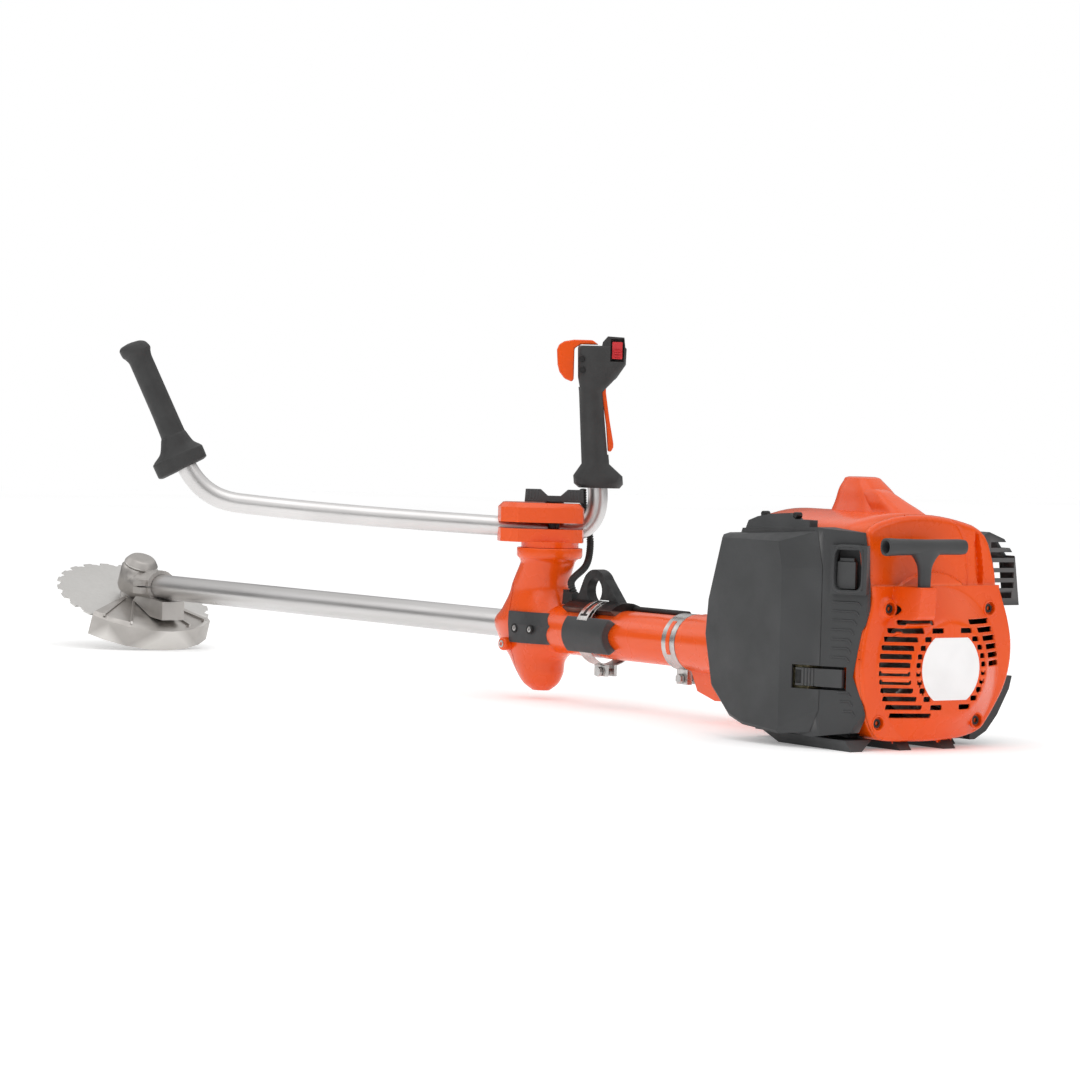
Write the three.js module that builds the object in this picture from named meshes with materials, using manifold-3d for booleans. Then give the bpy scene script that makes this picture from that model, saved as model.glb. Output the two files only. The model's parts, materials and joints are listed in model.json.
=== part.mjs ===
// Brush cutter with bicycle handlebars and a saw blade, as separate pieces.
// Millimetres. +X runs forward along the shaft to the blade, +Y is left, +Z is up and z = 0 is the floor.
import * as THREE from "three";
import { mergeVertices } from "three/addons/utils/BufferGeometryUtils.js";
import { ConvexGeometry } from "three/addons/geometries/ConvexGeometry.js";
import Module from "manifold-3d";

const wasm = await Module();
wasm.setup();

// Driving dimensions
const GAP = 0.3;                 // clearance between pieces that touch
const SHAFT_Z = 90;              // height of the crankshaft and drive-shaft axis
const COVER_REAR = -118;         // rear face of the starter cover's flange
const COVER_FRONT = -88;         // front edge of the starter cover
const DOME_REAR = -140;          // rear face of the starter dome
const SPLIT_Z = 182;             // joint between starter cover and cylinder cover
const TUBE_R = 17.5;             // shaft tube, outside
const SUPPORT_R = 30.5;          // support tube, outside
const SUPPORT_FRONT = 600;
const COLUMN_X = 617;            // axis of the handle column
const BAR_TURN = THREE.MathUtils.degToRad(54);   // direction of the handlebar in plan, from +X
const BAR_R = 12.5;
const BAR_E = -20;               // handlebar axis, in front of the clamp bolt
const BAR_Z = 212.2;             // handlebar axis over the column
const BAR_RISE = 0.045;          // slope of the handlebar's straight part
const HEAD_X = 1631.5;           // where the drive shaft and the blade arbor meet
const HEAD_TILT = THREE.MathUtils.degToRad(23);
const BLADE_R = 112.5;
const BLADE_TEETH = 24;
const BLADE_DROP = 21.7;         // blade plane below the meeting point
const PINION_TEETH = 15;
const GEAR_TEETH = 21;

const finish = (color, roughness, metalness) => new THREE.MeshStandardMaterial({ color, roughness, metalness });
const orange = () => finish(0xf0561b, 0.35, 0);
const grey = () => finish(0x5c5c5c, 0.55, 0);
const black = () => finish(0x1c1c1c, 0.6, 0);
const castAluminium = () => finish(0xb4b1ac, 0.45, 0.9);
const drawnAluminium = () => finish(0xd2d1d2, 0.3, 0.9);
const steel = () => finish(0xb9b9b9, 0.3, 1);
const darkSteel = () => finish(0x4a4a4a, 0.45, 0.8);
const red = () => finish(0xc81f28, 0.45, 0);

// ---------- geometry helpers ----------

/** A three.js geometry as a solid for cutting and joining. */
function solid(geometry) {
  geometry.deleteAttribute("normal");
  geometry.deleteAttribute("uv");
  const merged = mergeVertices(geometry, 1e-4);
  const mesh = new wasm.Mesh({
    numProp: 3,
    vertProperties: Float32Array.from(merged.attributes.position.array),
    triVerts: Uint32Array.from(merged.index.array),
  });
  return new wasm.Manifold(mesh);
}

/** A solid back as a named mesh. */
function piece(name, body, material) {
  const mesh = body.getMesh();
  const geometry = new THREE.BufferGeometry();
  geometry.setAttribute("position", new THREE.BufferAttribute(mesh.vertProperties, 3));
  geometry.setIndex(new THREE.BufferAttribute(mesh.triVerts, 1));
  geometry.computeVertexNormals();
  const result = new THREE.Mesh(geometry, material);
  result.name = name;
  return result;
}

/** Box between two corners. */
function box(x0, x1, y0, y1, z0, z1) {
  const geometry = new THREE.BoxGeometry(x1 - x0, y1 - y0, z1 - z0);
  return solid(geometry.translate((x0 + x1) / 2, (y0 + y1) / 2, (z0 + z1) / 2));
}

/** Convex solid through [x, y, z] points. */
function hull(points) {
  return solid(new ConvexGeometry(points.map((p) => new THREE.Vector3(...p))));
}

/** Turned solid from [radius, height] points about the Z axis; the profile is closed on itself or on the axis. */
function turned(profile, sides = 24) {
  return solid(new THREE.LatheGeometry(profile.map((p) => new THREE.Vector2(...p)), sides).rotateX(Math.PI / 2));
}

/** Turned solid about an axis parallel to X through y, z; profile points are [radius, x]. */
function turnedX(profile, sides = 24, y = 0, z = SHAFT_Z) {
  const lathe = new THREE.LatheGeometry(profile.map((p) => new THREE.Vector2(...p)), sides);
  return solid(lathe.rotateZ(-Math.PI / 2).translate(0, y, z));
}

/** Round bar about an axis parallel to X. */
function barX(radius, x0, x1, sides = 24, y = 0, z = SHAFT_Z) {
  return turnedX([[0, x0], [radius, x0], [radius, x1], [0, x1]], sides, y, z);
}

/** Ring about an axis parallel to X. */
function ringX(inner, outer, x0, x1, sides = 24) {
  return turnedX([[inner, x0], [outer, x0], [outer, x1], [inner, x1], [inner, x0]], sides);
}

/** Round bar about an axis parallel to Y. */
function barY(radius, y0, y1, x, z, sides = 16) {
  return solid(new THREE.CylinderGeometry(radius, radius, y1 - y0, sides).translate(x, (y0 + y1) / 2, z));
}

/** Round bar about an axis parallel to Z. */
function barZ(radius, z0, z1, x = 0, y = 0, sides = 20) {
  const geometry = new THREE.CylinderGeometry(radius, radius, z1 - z0, sides).rotateX(Math.PI / 2);
  return solid(geometry.translate(x, y, (z0 + z1) / 2));
}

/** Outline in [y, z] pushed along X. */
function slabX(outline, x0, x1) {
  const geometry = new THREE.ExtrudeGeometry(outlineShape(outline), { depth: x1 - x0, bevelEnabled: false });
  const basis = new THREE.Matrix4().makeBasis(
    new THREE.Vector3(0, 1, 0), new THREE.Vector3(0, 0, 1), new THREE.Vector3(1, 0, 0));
  return solid(geometry.applyMatrix4(basis).translate(x0, 0, 0));
}

/** Outline in [x, y] pushed along Z. */
function slabZ(outline, z0, z1) {
  const geometry = new THREE.ExtrudeGeometry(outlineShape(outline), { depth: z1 - z0, bevelEnabled: false });
  return solid(geometry.translate(0, 0, z0));
}

/** Outline in [x, z] pushed along Y. */
function slabY(outline, y0, y1) {
  const geometry = new THREE.ExtrudeGeometry(outlineShape(outline), { depth: y1 - y0, bevelEnabled: false });
  return solid(geometry.rotateX(Math.PI / 2).translate(0, y1, 0));
}

function outlineShape(outline) {
  return new THREE.Shape(outline.map((p) => new THREE.Vector2(...p)));
}

/** The outline moved outwards by an amount, about its own middle. */
function grown(outline, amount) {
  const middle = [0, 1].map((k) => (Math.max(...outline.map((p) => p[k])) + Math.min(...outline.map((p) => p[k]))) / 2);
  return outline.map((p) => {
    const away = p.map((v, k) => v - middle[k]);
    const factor = 1 + amount / Math.hypot(...away);
    return away.map((v, k) => middle[k] + v * factor);
  });
}

/** Stack of superellipse rings, one for each level { z, x, y, a, b, p }, lowest first. */
function loft(levels, sides = 20) {
  const top = levels.length - 1;
  const geometry = new THREE.CylinderGeometry(1, 1, top, sides, top).rotateX(Math.PI / 2);
  const position = geometry.attributes.position;
  for (let i = 0; i < position.count; i += 1) {
    const level = levels[Math.round(position.getZ(i) + top / 2)];
    const rim = Math.hypot(position.getX(i), position.getY(i)) > 0.5 ? 1 : 0;
    const angle = Math.atan2(position.getY(i), position.getX(i));
    const bend = 2 / (level.p ?? 2);
    const across = Math.sign(Math.cos(angle)) * Math.abs(Math.cos(angle)) ** bend;
    const along = Math.sign(Math.sin(angle)) * Math.abs(Math.sin(angle)) ** bend;
    position.setXYZ(i, (level.x ?? 0) + rim * level.a * across, (level.y ?? 0) + rim * level.b * along, level.z);
  }
  return solid(geometry);
}

/** Round tube along a curve, hollow when inner is given. */
function pipe(curve, outer, inner, steps, sides = 20) {
  const ring = new THREE.Shape().absarc(0, 0, outer, 0, 2 * Math.PI);
  if (inner > 0) {
    ring.holes.push(new THREE.Path().absarc(0, 0, inner, 0, 2 * Math.PI, true));
  }
  const settings = { steps, extrudePath: curve, curveSegments: sides, bevelEnabled: false };
  return solid(new THREE.ExtrudeGeometry(ring, settings));
}

const join = (first, ...rest) => rest.reduce((sum, next) => sum.add(next), first);
const cut = (first, ...rest) => rest.reduce((left, next) => left.subtract(next), first);
const turnedBy = (body, axis, degrees) => body.rotate(axis.map((v) => v * degrees));
const count = (n, make) => Array.from({ length: n }, (_, i) => make(i));

// ---------- engine ----------

// Rear outline of the machine, as [y, z], from the top left round to the top right of the split
const starterOutline = [
  [101, SPLIT_Z], [97, 166], [108, 132], [112.5, 82], [105, 46], [90, 15], [70, 10], [0, 9.5], [-62, 15],
  [-80, 36], [-104, 72], [-111, 110], [-104, 144], [-90, 176], [-89, SPLIT_Z],
];
const topOutline = [
  [100, SPLIT_Z + GAP], [103, 222], [106, 246], [60, 259], [20, 261], [-24, 256], [-70, 244], [-85, 205],
  [-89, SPLIT_Z + GAP],
];
const screwPlaces = [[76, 157], [-74, 156], [85, 31], [-50, 32]];

function starterCover() {
  const flange = slabX(starterOutline, COVER_REAR, COVER_FRONT);
  const dome = turnedX([[0, DOME_REAR], [53, DOME_REAR], [56, -138.5], [91.7, -117], [91.7, -116], [0, -116]], 28);
  const guide = hull([[-119, 20, 120], [-119, 78, 120], [-119, 66, 192], [-119, 20, 192],
    [-152, 38, 150], [-152, 61, 150], [-156, 38, 180], [-156, 61, 180]]);
  const outside = join(flange, dome.intersect(slabX(starterOutline, -150, COVER_FRONT)), guide);
  const hollow = join(
    slabX(grown(starterOutline, -3), -115, COVER_FRONT + 1),
    turnedX([[0, -137], [51, -137], [54, -135.5], [86, -114.4], [86, -110], [0, -110]], 28),
    barZ(7.5, 160, 200, -146.5, 49.5, 20),
    box(-146, -120, 44, 47.5, 96, 165),
  );
  const seats = screwPlaces.map(([y, z]) => barX(9, -150, -104, 12, y, z).intersect(outside));
  const recesses = screwPlaces.map(([y, z]) => join(barX(7, -150, -116.5, 12, y, z), barX(3.4, -118, -100, 8, y, z)));
  const boss = screwPlaces.slice(0, 1).map(([y, z]) => turnedX([[0, -121.9], [12, -121.9], [14.3, -117.2], [0, -117.2]], 16, y, z));
  return piece("starter_cover", cut(join(cut(outside, hollow), ...seats, ...boss), ...grilleSlots(), ...recesses), orange());
}

/** Air slots in level rows: short ones in a ring round the dome's face and long ones beyond them. */
function grilleSlots() {
  const along = (radius, dz) => Math.sqrt(Math.max(radius * radius - dz * dz, 36));
  const slots = count(12, (i) => {
    const z = SHAFT_Z + 51.7 - 9.4 * i;
    const dz = Math.abs(z - SHAFT_Z);
    const row = (side, near, far) => box(-145, -112, Math.min(side * near, side * far), Math.max(side * near, side * far), z - 2.7, z + 2.7);
    const slope = [row(1, along(58, dz), along(89, dz))];
    if (i < 6) {
      slope.push(row(-1, along(58, dz), along(89, dz)));
    }
    return dz > 50 ? slope : [...slope, row(1, along(43.5, dz), along(51.5, dz)), row(-1, along(43.5, dz), along(51.5, dz))];
  });
  return slots.flat();
}

function coverScrew(place, index) {
  const [y, z] = screwPlaces[index];
  const head = turnedX([[0, -121.5], [2.4, -124], [5.4, -124], [5.4, -116.9], [2.9, -116.9], [2.9, -97], [0, -97]], 12, y, z);
  return piece(`cover_screw_${place}`, head, darkSteel());
}

function cylinderCover() {
  const hump = loft([
    { z: 240, x: 0, y: 0, a: 50, b: 40, p: 4 },
    { z: 258, x: 0, y: 0, a: 48, b: 38, p: 4 },
    { z: 285, x: 12, y: 3, a: 29, b: 22, p: 3.4 },
    { z: 298, x: 19, y: 2, a: 18, b: 14, p: 3 },
  ]);
  const ridge = hull([[-70, 20, 250], [-70, -16, 250], [-50, 22, 279], [-50, 7, 280], [-8, 22, 284], [-8, 6, 284],
    [-44, -38, 250], [-6, -42, 250], [-34, 36, 250], [0, 34, 250]]);
  const cavity = loft([
    { z: 180, x: 5, y: 0, a: 52, b: 50, p: 4 },
    { z: 252, x: 5, y: 0, a: 50, b: 49, p: 4 },
    { z: 256, x: 8, y: 0, a: 30, b: 26, p: 4 },
    { z: 292, x: 17, y: 2, a: 15, b: 12, p: 3 },
  ]);
  const nose = (x) => box(0, 140, -120, 120, 150, 330).rotate([0, -7, 0]).translate([x, 0, 0]);
  const hollow = join(slabX(grown(topOutline, -4), -110, 92).intersect(box(-111, 93, -120, 97, 170, 251)), cavity)
    .subtract(nose(84));
  const corner = hull([[-120, -81, 236], [-120, -71, 183], [-120, -83, 183], [-109, -79, 232], [-109, -73, 186], [-109, -82, 186]]);
  const body = cut(
    join(slabX(topOutline, -114, 98), hump, ridge),
    hollow,
    nose(88),
    corner,
    box(-112, 52, -86, 97, 181, 200),
    box(-160, -100, 28, 71, 181, 199),
    barX(91, -130, -100, 32),
    box(-66, 60, -140, -58, 180, 226),
  );
  return piece("cylinder_cover", body, orange());
}

function fuelTank() {
  const runner = (y0, y1, x0) => hull([[x0, y0, 0], [x0, y1, 0], [92, y0, 0], [92, y1, 0],
    [x0 + 8, y0, 9], [x0 + 8, y1, 9], [96, y0, 9], [96, y1, 9]]);
  const leftFoot = hull([[-114, 104, 0], [-114, 120, 0], [20, 98, 0], [20, 112, 0],
    [-106, 84, 12], [-106, 122, 12], [50, 80, 12], [50, 112, 12]]);
  const body = join(
    hull([[-85, -70, 8], [96, -60, 8], [96, 84, 8], [-85, 94, 8], [-72, -76, 40], [99, -66, 40], [99, 96, 40], [-72, 96, 40]]),
    runner(33, 50, -115), runner(-32, -14, -115), runner(-72, -58, -70), leftFoot,
    box(-20, 20, -14.5, 14.5, 0, 9),
    barX(16, 98, 106, 24, -30, 27.5),
  );
  const inside = hull([[-78, -64, 12], [60, -56, 12], [60, 80, 12], [-78, 88, 12],
    [-68, -70, 37], [60, -60, 37], [60, 90, 37], [-68, 91, 37]]);
  const neck = barX(13, 55, 110, 20, -30, 27.5);
  const skirtRoom = slabX(grown(starterOutline, GAP), COVER_REAR - 1, COVER_FRONT + GAP);
  return piece("fuel_tank", cut(body, inside, neck, skirtRoom), grey());
}

function fuelCap() {
  const cap = turnedX([[0, 90], [12.5, 90], [12.5, 106.4], [19, 106.4], [19, 117], [16, 120], [0, 120]], 20, -30, 27.5);
  const grips = count(6, (i) => turnedBy(box(108, 122, 17, 22, -2.5, 2.5), [1, 0, 0], 60 * i).translate([0, -30, 27.5]));
  return piece("fuel_cap", cut(cap, ...grips), black());
}

function crankcase() {
  const body = join(
    hull([[-70, -44, 50], [-70, 44, 50], [-70, -44, 120], [-70, 44, 120],
      [92, -48, 44], [92, 48, 44], [92, -48, 125], [92, 48, 125]]),
    barX(49, 88, 99.7, 32),
  );
  return piece("crankcase", cut(body, barX(8.4, -80, 110, 24), barX(34, -52, 80, 24), barZ(30, 80, 130, 5, 0),
    barX(42, 92, 101, 28)), castAluminium());
}

function cylinder() {
  const fins = count(6, (i) => [[33, 132 + 18 * i], [46, 132 + 18 * i], [46, 137 + 18 * i], [33, 137 + 18 * i]]).flat();
  const body = turned([[26, 125.4], [33, 125.4], ...fins, [33, 242], [10.4, 242], [10.4, 232], [26, 230], [26, 125.4]], 12);
  return piece("cylinder", body.translate([5, 0, 0]), castAluminium());
}

function sparkPlug() {
  const body = turned([[0, 228], [6, 228], [6, 233], [9, 233], [9, 242], [12, 242.4], [12, 248], [8, 250], [8, 262],
    [9.5, 264], [9.5, 280], [0, 283]], 12);
  return piece("spark_plug", body.translate([6, 0, 0]), black());
}

function crankshaft() {
  const body = join(barX(8, -103, 108, 16), ringX(2, 31, -14, 2, 20), ringX(2, 31, 14, 30, 20));
  return piece("crankshaft", body, steel());
}

function flywheelFan() {
  const fins = count(12, (i) => turnedBy(box(-104, -84, 24, 56, -1.4, 1.4), [1, 0, 0], 30 * i).translate([0, 0, SHAFT_Z]));
  const disc = ringX(8.4, 58, -86, -78, 24);
  return piece("flywheel_fan", join(disc, ringX(8.4, 26, -102, -84, 24), ...fins), drawnAluminium());
}

function recoilPulley() {
  const body = turnedX([[3, -136], [44, -136], [44, -133], [40, -131.5], [40, -128.5], [44, -127], [44, -124],
    [14, -124], [14, -110], [3, -110], [3, -136]], 24);
  return piece("recoil_pulley", body, black());
}

function pullHandle() {
  const stem = loft([
    { z: 170, a: 6, b: 7 },
    { z: 200, a: 6, b: 8 },
    { z: 212, a: 7, b: 13 },
    { z: 224, a: 8.5, b: 26 },
  ], 16).translate([-146.5, 49.5, 0]);
  const bar = loft([
    { z: -57, a: 8, b: 7.5, p: 3 },
    { z: -50, a: 9, b: 8.6, p: 3 },
    { z: 0, a: 8.6, b: 8.6, p: 3 },
    { z: 50, a: 9.4, b: 9.4, p: 3 },
    { z: 57, a: 9, b: 9.2, p: 3 },
  ], 16).rotate([-90, 0, 0]).translate([-146.5, 49.5, 226]);
  return piece("pull_handle", cut(join(stem, bar), box(-152, -141, 96, 112, 220.5, 231.5)), grey());
}

function muffler() {
  const can = (inset) => hull([-62 + inset, 56 - inset].flatMap((x) => [[x, -62 - inset, 92 + inset],
    [x, -120 + inset, 100 + inset], [x, -62 - inset, 222 - inset], [x, -112 + inset, 218 - inset]]));
  return piece("muffler", cut(can(0), can(2), barY(9, -130, -100, 30, 190, 16)), darkSteel());
}

function mufflerGuardUpper() {
  const rear = [[-92, 157], [-92, 236], [-101, 240], [-124, 232], [-141, 212], [-149, 157]];
  const shell = cut(slabX(rear, -84, 64), slabX(rear.map(([y, z]) => [y < -95 ? y + 3 : y + 5, z > 200 ? z - 3 : z - 5]), -81, 61));
  const slots = count(6, (i) => box(-90, -70, -137 - (i > 0) * 3, -104, 165 + 11.4 * i, 171.5 + 11.4 * i));
  const sideSlots = count(5, (i) => box(-60 + 22 * i, -46 + 22 * i, -155, -130, 170, 205));
  const roomForCover = slabX(grown(topOutline, GAP), -120, 100);
  return piece("muffler_guard_upper", cut(shell, ...slots, ...sideSlots, roomForCover), grey());
}

function mufflerGuardLower() {
  const rear = [[-78, 6], [-88, 6], [-105, 15], [-121, 33], [-138, 62], [-142, 77], [-78, 77]];
  const shell = cut(slabX(rear, -84, 46), slabX(rear.map(([y, z]) => [y + 4, z + 4]), -81, 43), box(-100, 60, -80, -60, 0, 50));
  const slots = count(4, (i) => box(-90, -70, -130 + 9 * i, -124 + 9 * i, 66 - 10 * i, 70.5 - 10 * i));
  return piece("muffler_guard_lower", cut(shell, ...slots), grey());
}

function carburettor() {
  const body = join(box(-18, 38, 60, 99, 118, 172), barY(17, 50, 61, 8, 146, 20));
  return piece("carburettor", cut(body, barY(11, 45, 100, 8, 146, 20)), castAluminium());
}

const FLANK = [[-73, 132], [-117, 106]];    // left rear flank of the intake housing, as [x, y]
const FLANK_ANGLE = Math.atan2(FLANK[0][1] - FLANK[1][1], FLANK[0][0] - FLANK[1][0]) * 180 / Math.PI;

/** A solid drawn with +X along the flank and +Y out of it, set on the flank at a fraction of its length. */
function onFlank(body, fraction) {
  const x = FLANK[0][0] + (FLANK[1][0] - FLANK[0][0]) * fraction;
  const y = FLANK[0][1] + (FLANK[1][1] - FLANK[0][1]) * fraction;
  return body.rotate([0, 0, FLANK_ANGLE]).translate([x, y, 0]);
}

const LATCH_PIVOT = [-95, 118];             // hinge of the filter latch in plan
const LATCH_ANGLE = 22;

/** A solid drawn with +X along the latch from its hinge and +Y outwards, set in its place. */
const atLatch = (body) => body.rotate([0, 0, LATCH_ANGLE]).translate([...LATCH_PIVOT, 0]);

function filterBase() {
  const plan = [[-117, 100.5], FLANK[1], FLANK[0], [86, 132], [98, 100.5]];
  const profile = [[-118, 166], [-118, 44], [-104, 20], [-60, 13], [60, 20], [92, 50], [98, 110], [86, 200], [70, 238], [-60, 244], [-112, 240]];
  const block = slabZ(plan, 12, 246).intersect(slabY(profile, 90, 140));
  const bezel = onFlank(join(box(-21, 21, -8, 7, 172, 226)), 0.62);
  const clasp = cut(
    slabY([[68, 232], [60, 247], [44, 252], [23, 255.5], [-12, 257.8], [-22, 251], [-47, 251], [-47, 236]].reverse(), 120, 131.8),
    box(-44, -28, 122, 128, 247, 260),
  );
  const body = cut(
    join(block, bezel, clasp),
    onFlank(box(-16.5, 16.5, -11.5, 9, 177, 221), 0.62),
    box(-62, 76, 104, 133, 40, 226),
    slabX(grown(starterOutline, GAP), COVER_REAR - 2, COVER_FRONT + GAP),
    slabX(grown(topOutline, GAP), -160, 100),
    barY(20, 95, 110, 8, 146, 20),
    atLatch(box(-4, 62, -10, 14, 66, 92)),
    hull([[-90, 80, 0], [100, 80, 0], [-90, 130, 0], [100, 120, 0], [-90, 130, 12.4], [100, 120, 12.4], [-90, 80, 40.4], [100, 97, 40.4]]),
  );
  return piece("filter_base", body, grey());
}

function airFilter() {
  return piece("air_filter", cut(box(-50, 64, 106, 130, 60, 220), box(-40, 54, 105, 118, 70, 210)), finish(0xd9d2b8, 0.9, 0));
}

function airFilterCover() {
  const inner = [[-72, 44], [-58, 18], [42, 16], [70, 24], [106, 58], [120, 116], [116, 156], [92, 232], [-62, 240], [-72, 200]];
  const outer = [[-26, 18], [-22, 14], [42, 19], [66, 27], [99, 58], [113, 116], [109, 156], [85, 230], [-18, 230], [-26, 200]];
  const shell = hull([
    ...inner.map(([x, z]) => [x, 132.4, z]),
    ...outer.map(([x, z]) => [x, 147, z]),
    ...grown(outer, -4).map(([x, z]) => [x, 150, z]),
  ]);
  const room = hull([
    ...grown(inner, -5).map(([x, z]) => [x, 131, z]),
    ...grown(outer, -6).map(([x, z]) => [x, 146.5, z]),
  ]);
  return piece("air_filter_cover", cut(shell, room, atLatch(box(-4, 62, -6, 14, 66, 92))), grey());
}

function filterLatch() {
  const lever = cut(box(0, 58, -4, 3, 69, 89), ...count(4, (i) => box(34 + 4 * i, 36 + 4 * i, 1.5, 4, 66, 92)));
  return piece("filter_latch", atLatch(lever), grey());
}

function startButton() {
  const button = join(box(-6, 15.5, -6.5, 1, 177.5, 208), box(-4, 13, -6.5, 0, 207, 212));
  return piece("start_button", onFlank(button, 0.62), grey());
}

// ---------- clutch, tubes and suspension ----------

function clutchDrum() {
  const body = turnedX([[0, 112], [39, 112], [39, 148], [36, 148], [36, 115], [9, 115], [9, 236], [0, 236]], 24);
  return piece("clutch_drum", body, steel());
}

function clutchHousing() {
  const bell = turnedX([[44, 100], [49.5, 100], [49.5, 150], [40, 205], [36, 240], [35.5, 300], [34.5, 306], [34.5, 314],
    [30.8, 314], [30.8, 262], [12, 258], [12, 235], [44, 160], [44, 100]], 24);
  const gusset = hull([[235, -13, 64], [235, 13, 64], [314, -9, 60], [314, 9, 60], [222, -15, 27], [222, 15, 27],
    [262, -12, 25], [262, 12, 25], [300, -9, 34], [300, 9, 34], [180, -18, 50], [180, 18, 50]]);
  return piece("clutch_housing", cut(join(bell, gusset), barX(SUPPORT_R + GAP, 262, 320), turnedX(
    [[0, 100], [44, 100], [44, 160], [12, 235], [12, 263], [0, 263]], 24)), orange());
}

function bandClamp() {
  const ring = ringX(30.9, 34.4, 315, 340, 28);
  const lugs = join(box(317, 338, -11, -4, 40, 60), box(317, 338, 4, 11, 40, 60));
  const body = cut(join(ring, lugs), box(310, 345, -4, 4, 35, 62), barX(30.9, 314, 341, 28), barY(3.5, -20, 20, 327.5, 47, 16));
  return piece("band_clamp", body, steel());
}

function bandBolt() {
  const shank = barY(3.1, -14, 11.5, 327.5, 47, 12);
  const head = barY(6, 11.3, 17, 327.5, 47, 6);
  const nut = barY(6, -16.5, -11.3, 327.5, 47, 6);
  return piece("band_bolt", join(shank, head, nut), steel());
}

function supportTube() {
  return piece("support_tube", ringX(27.5, SUPPORT_R, 263, SUPPORT_FRONT, 28), orange());
}

/** Rubber ring that carries the shaft tube inside the support tube. */
function tubeBush(place, start) {
  return piece(`tube_bush_${place}`, ringX(TUBE_R + GAP, 27.1, start, start + 40, 24), black());
}

function shaftTube() {
  return piece("shaft_tube", ringX(15.5, TUBE_R, 264, 1603, 28), drawnAluminium());
}

function driveShaft() {
  return piece("drive_shaft", join(barX(4.5, 236.4, 1606, 12), barX(7, 236.4, 262, 12)), steel());
}

const guideRoom = (radius, x0, x1) => barX(radius, x0, x1, 12, -11, 122.5);

function cableGuide() {
  return piece("cable_guide", guideRoom(3.5, 345, 556), black());
}

function suspensionPad() {
  const ring = ringX(SUPPORT_R + GAP, 37.9, 437, 535, 28);
  const wedge = hull([[430, 0, SHAFT_Z], [560, 0, SHAFT_Z], [430, -60, 140], [560, -60, 140], [430, 60, 140], [560, 60, 140]]);
  return piece("suspension_pad", cut(ring, wedge, box(430, 560, -6, 6, 40, 56)), grey());
}

function suspensionEye() {
  const saddle = ringX(SUPPORT_R + GAP, 40, 452, 552, 28).intersect(
    hull([[440, 0, SHAFT_Z + 8], [560, 0, SHAFT_Z + 8], [440, -54, 143], [560, -54, 143], [440, 54, 143], [560, 54, 143]]));
  const loop = cut(
    join(
      barY(26, -7, 7, 512, 142, 32),
      hull([[456, -7, 122], [552, -7, 122], [456, 7, 122], [552, 7, 122], [490, -7, 156], [534, -7, 156], [490, 7, 156], [534, 7, 156]]),
    ),
    barY(15.4, -10, 10, 512, 142, 28),
  );
  const strapSlot = ringX(37.9, 42, 481.7, 506.3, 28);
  return piece("suspension_eye", cut(join(saddle, loop), barX(SUPPORT_R + GAP, 440, 560, 28), strapSlot,
    guideRoom(4, 440, 560), box(481.7, 506.3, -20, 20, 119, 131.2)), grey());
}

function suspensionStrap() {
  const ring = ringX(38.2, 39.7, 482, 506, 28);
  const lugs = join(box(482, 506, -8.5, -4, 38, 54), box(482, 506, 4, 8.5, 38, 54));
  return piece("suspension_strap", cut(join(ring, lugs), box(480, 510, -4, 4, 30, 56), barX(38.2, 470, 520, 28),
    barY(3.6, -20, 20, 494, 43.5, 16)), steel());
}

function suspensionPin() {
  return piece("suspension_pin", join(barY(3.2, -12, 9, 494, 43.5, 16), barY(6.2, 8.9, 13, 494, 43.5, 16),
    barY(6.2, -13, -8.9, 494, 43.5, 16)), steel());
}

// ---------- handle column ----------

/** Outside of the two-piece column, moved outwards by an amount. */
function columnBody(out) {
  const levels = [
    { z: 11 - out, x: 628, a: 13, b: 10 },
    { z: 20, x: 629, a: 26, b: 20 },
    { z: 33, x: 631, a: 35, b: 26 },
    { z: 50, x: 636, a: 43, b: 30 },
    { z: 70, x: 634, a: 68, b: 36 },
    { z: 94, x: 632, a: 80, b: 38, p: 2.3 },
    { z: 112, x: 636, a: 60, b: 37 },
    { z: 138, x: 635, a: 41, b: 34 },
    { z: 170, x: 621, a: 34, b: 34 },
    { z: 178 + out, x: 618, a: 38, b: 38 },
  ];
  return loft(levels.map((level) => ({ ...level, a: level.a + out, b: level.b + out })), 20);
}

const columnBores = () => join(barX(SUPPORT_R + GAP, 500, SUPPORT_FRONT + GAP, 28), barX(TUBE_R + GAP, 500, 760, 28));
const SEAM_X = 648;

function handleColumn() {
  const collar = turned([[0, 177], [40, 178], [41, 180], [41, 190], [0, 190]], 28).translate([COLUMN_X, 0, 0]);
  const hollow = join(columnBody(-4).intersect(box(560, SEAM_X + 1, -60, 60, 56, 172)), box(608, 660, -16, 16, 24, 60));
  const body = cut(join(columnBody(0), collar), box(SEAM_X, 760, -60, 60, 0, 176), columnBores(), hollow,
    barZ(6, 160, 195, COLUMN_X, 0, 20));
  return piece("handle_column", body, orange());
}

function columnShell() {
  const body = cut(columnBody(0).intersect(box(SEAM_X + GAP, 760, -60, 60, 10, 175.6)),
    columnBody(-4).intersect(box(SEAM_X, 760, -60, 60, 56, 168)), columnBores());
  const boss = cut(hull([[640, 22, 60], [664, 24, 60], [640, 22, 76], [664, 24, 76], [646, 40, 63], [658, 40, 63],
    [646, 40, 73], [658, 40, 73]]).intersect(box(SEAM_X + GAP, 670, 20, 45, 55, 80)), columnBody(-1.5));
  return piece("column_shell", join(body, boss), orange());
}

function columnPad() {
  const band = cut(columnBody(3.4), columnBody(GAP)).intersect(box(565, 646, 16, 60, 71, 110));
  const holes = [0, 1].map((i) => barY(2.8, 35, 50, 599.5 + 32 * i, 89, 12));
  return piece("column_pad", cut(band, barX(SUPPORT_R + GAP, 540, 601, 28), ...holes), grey());
}

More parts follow.
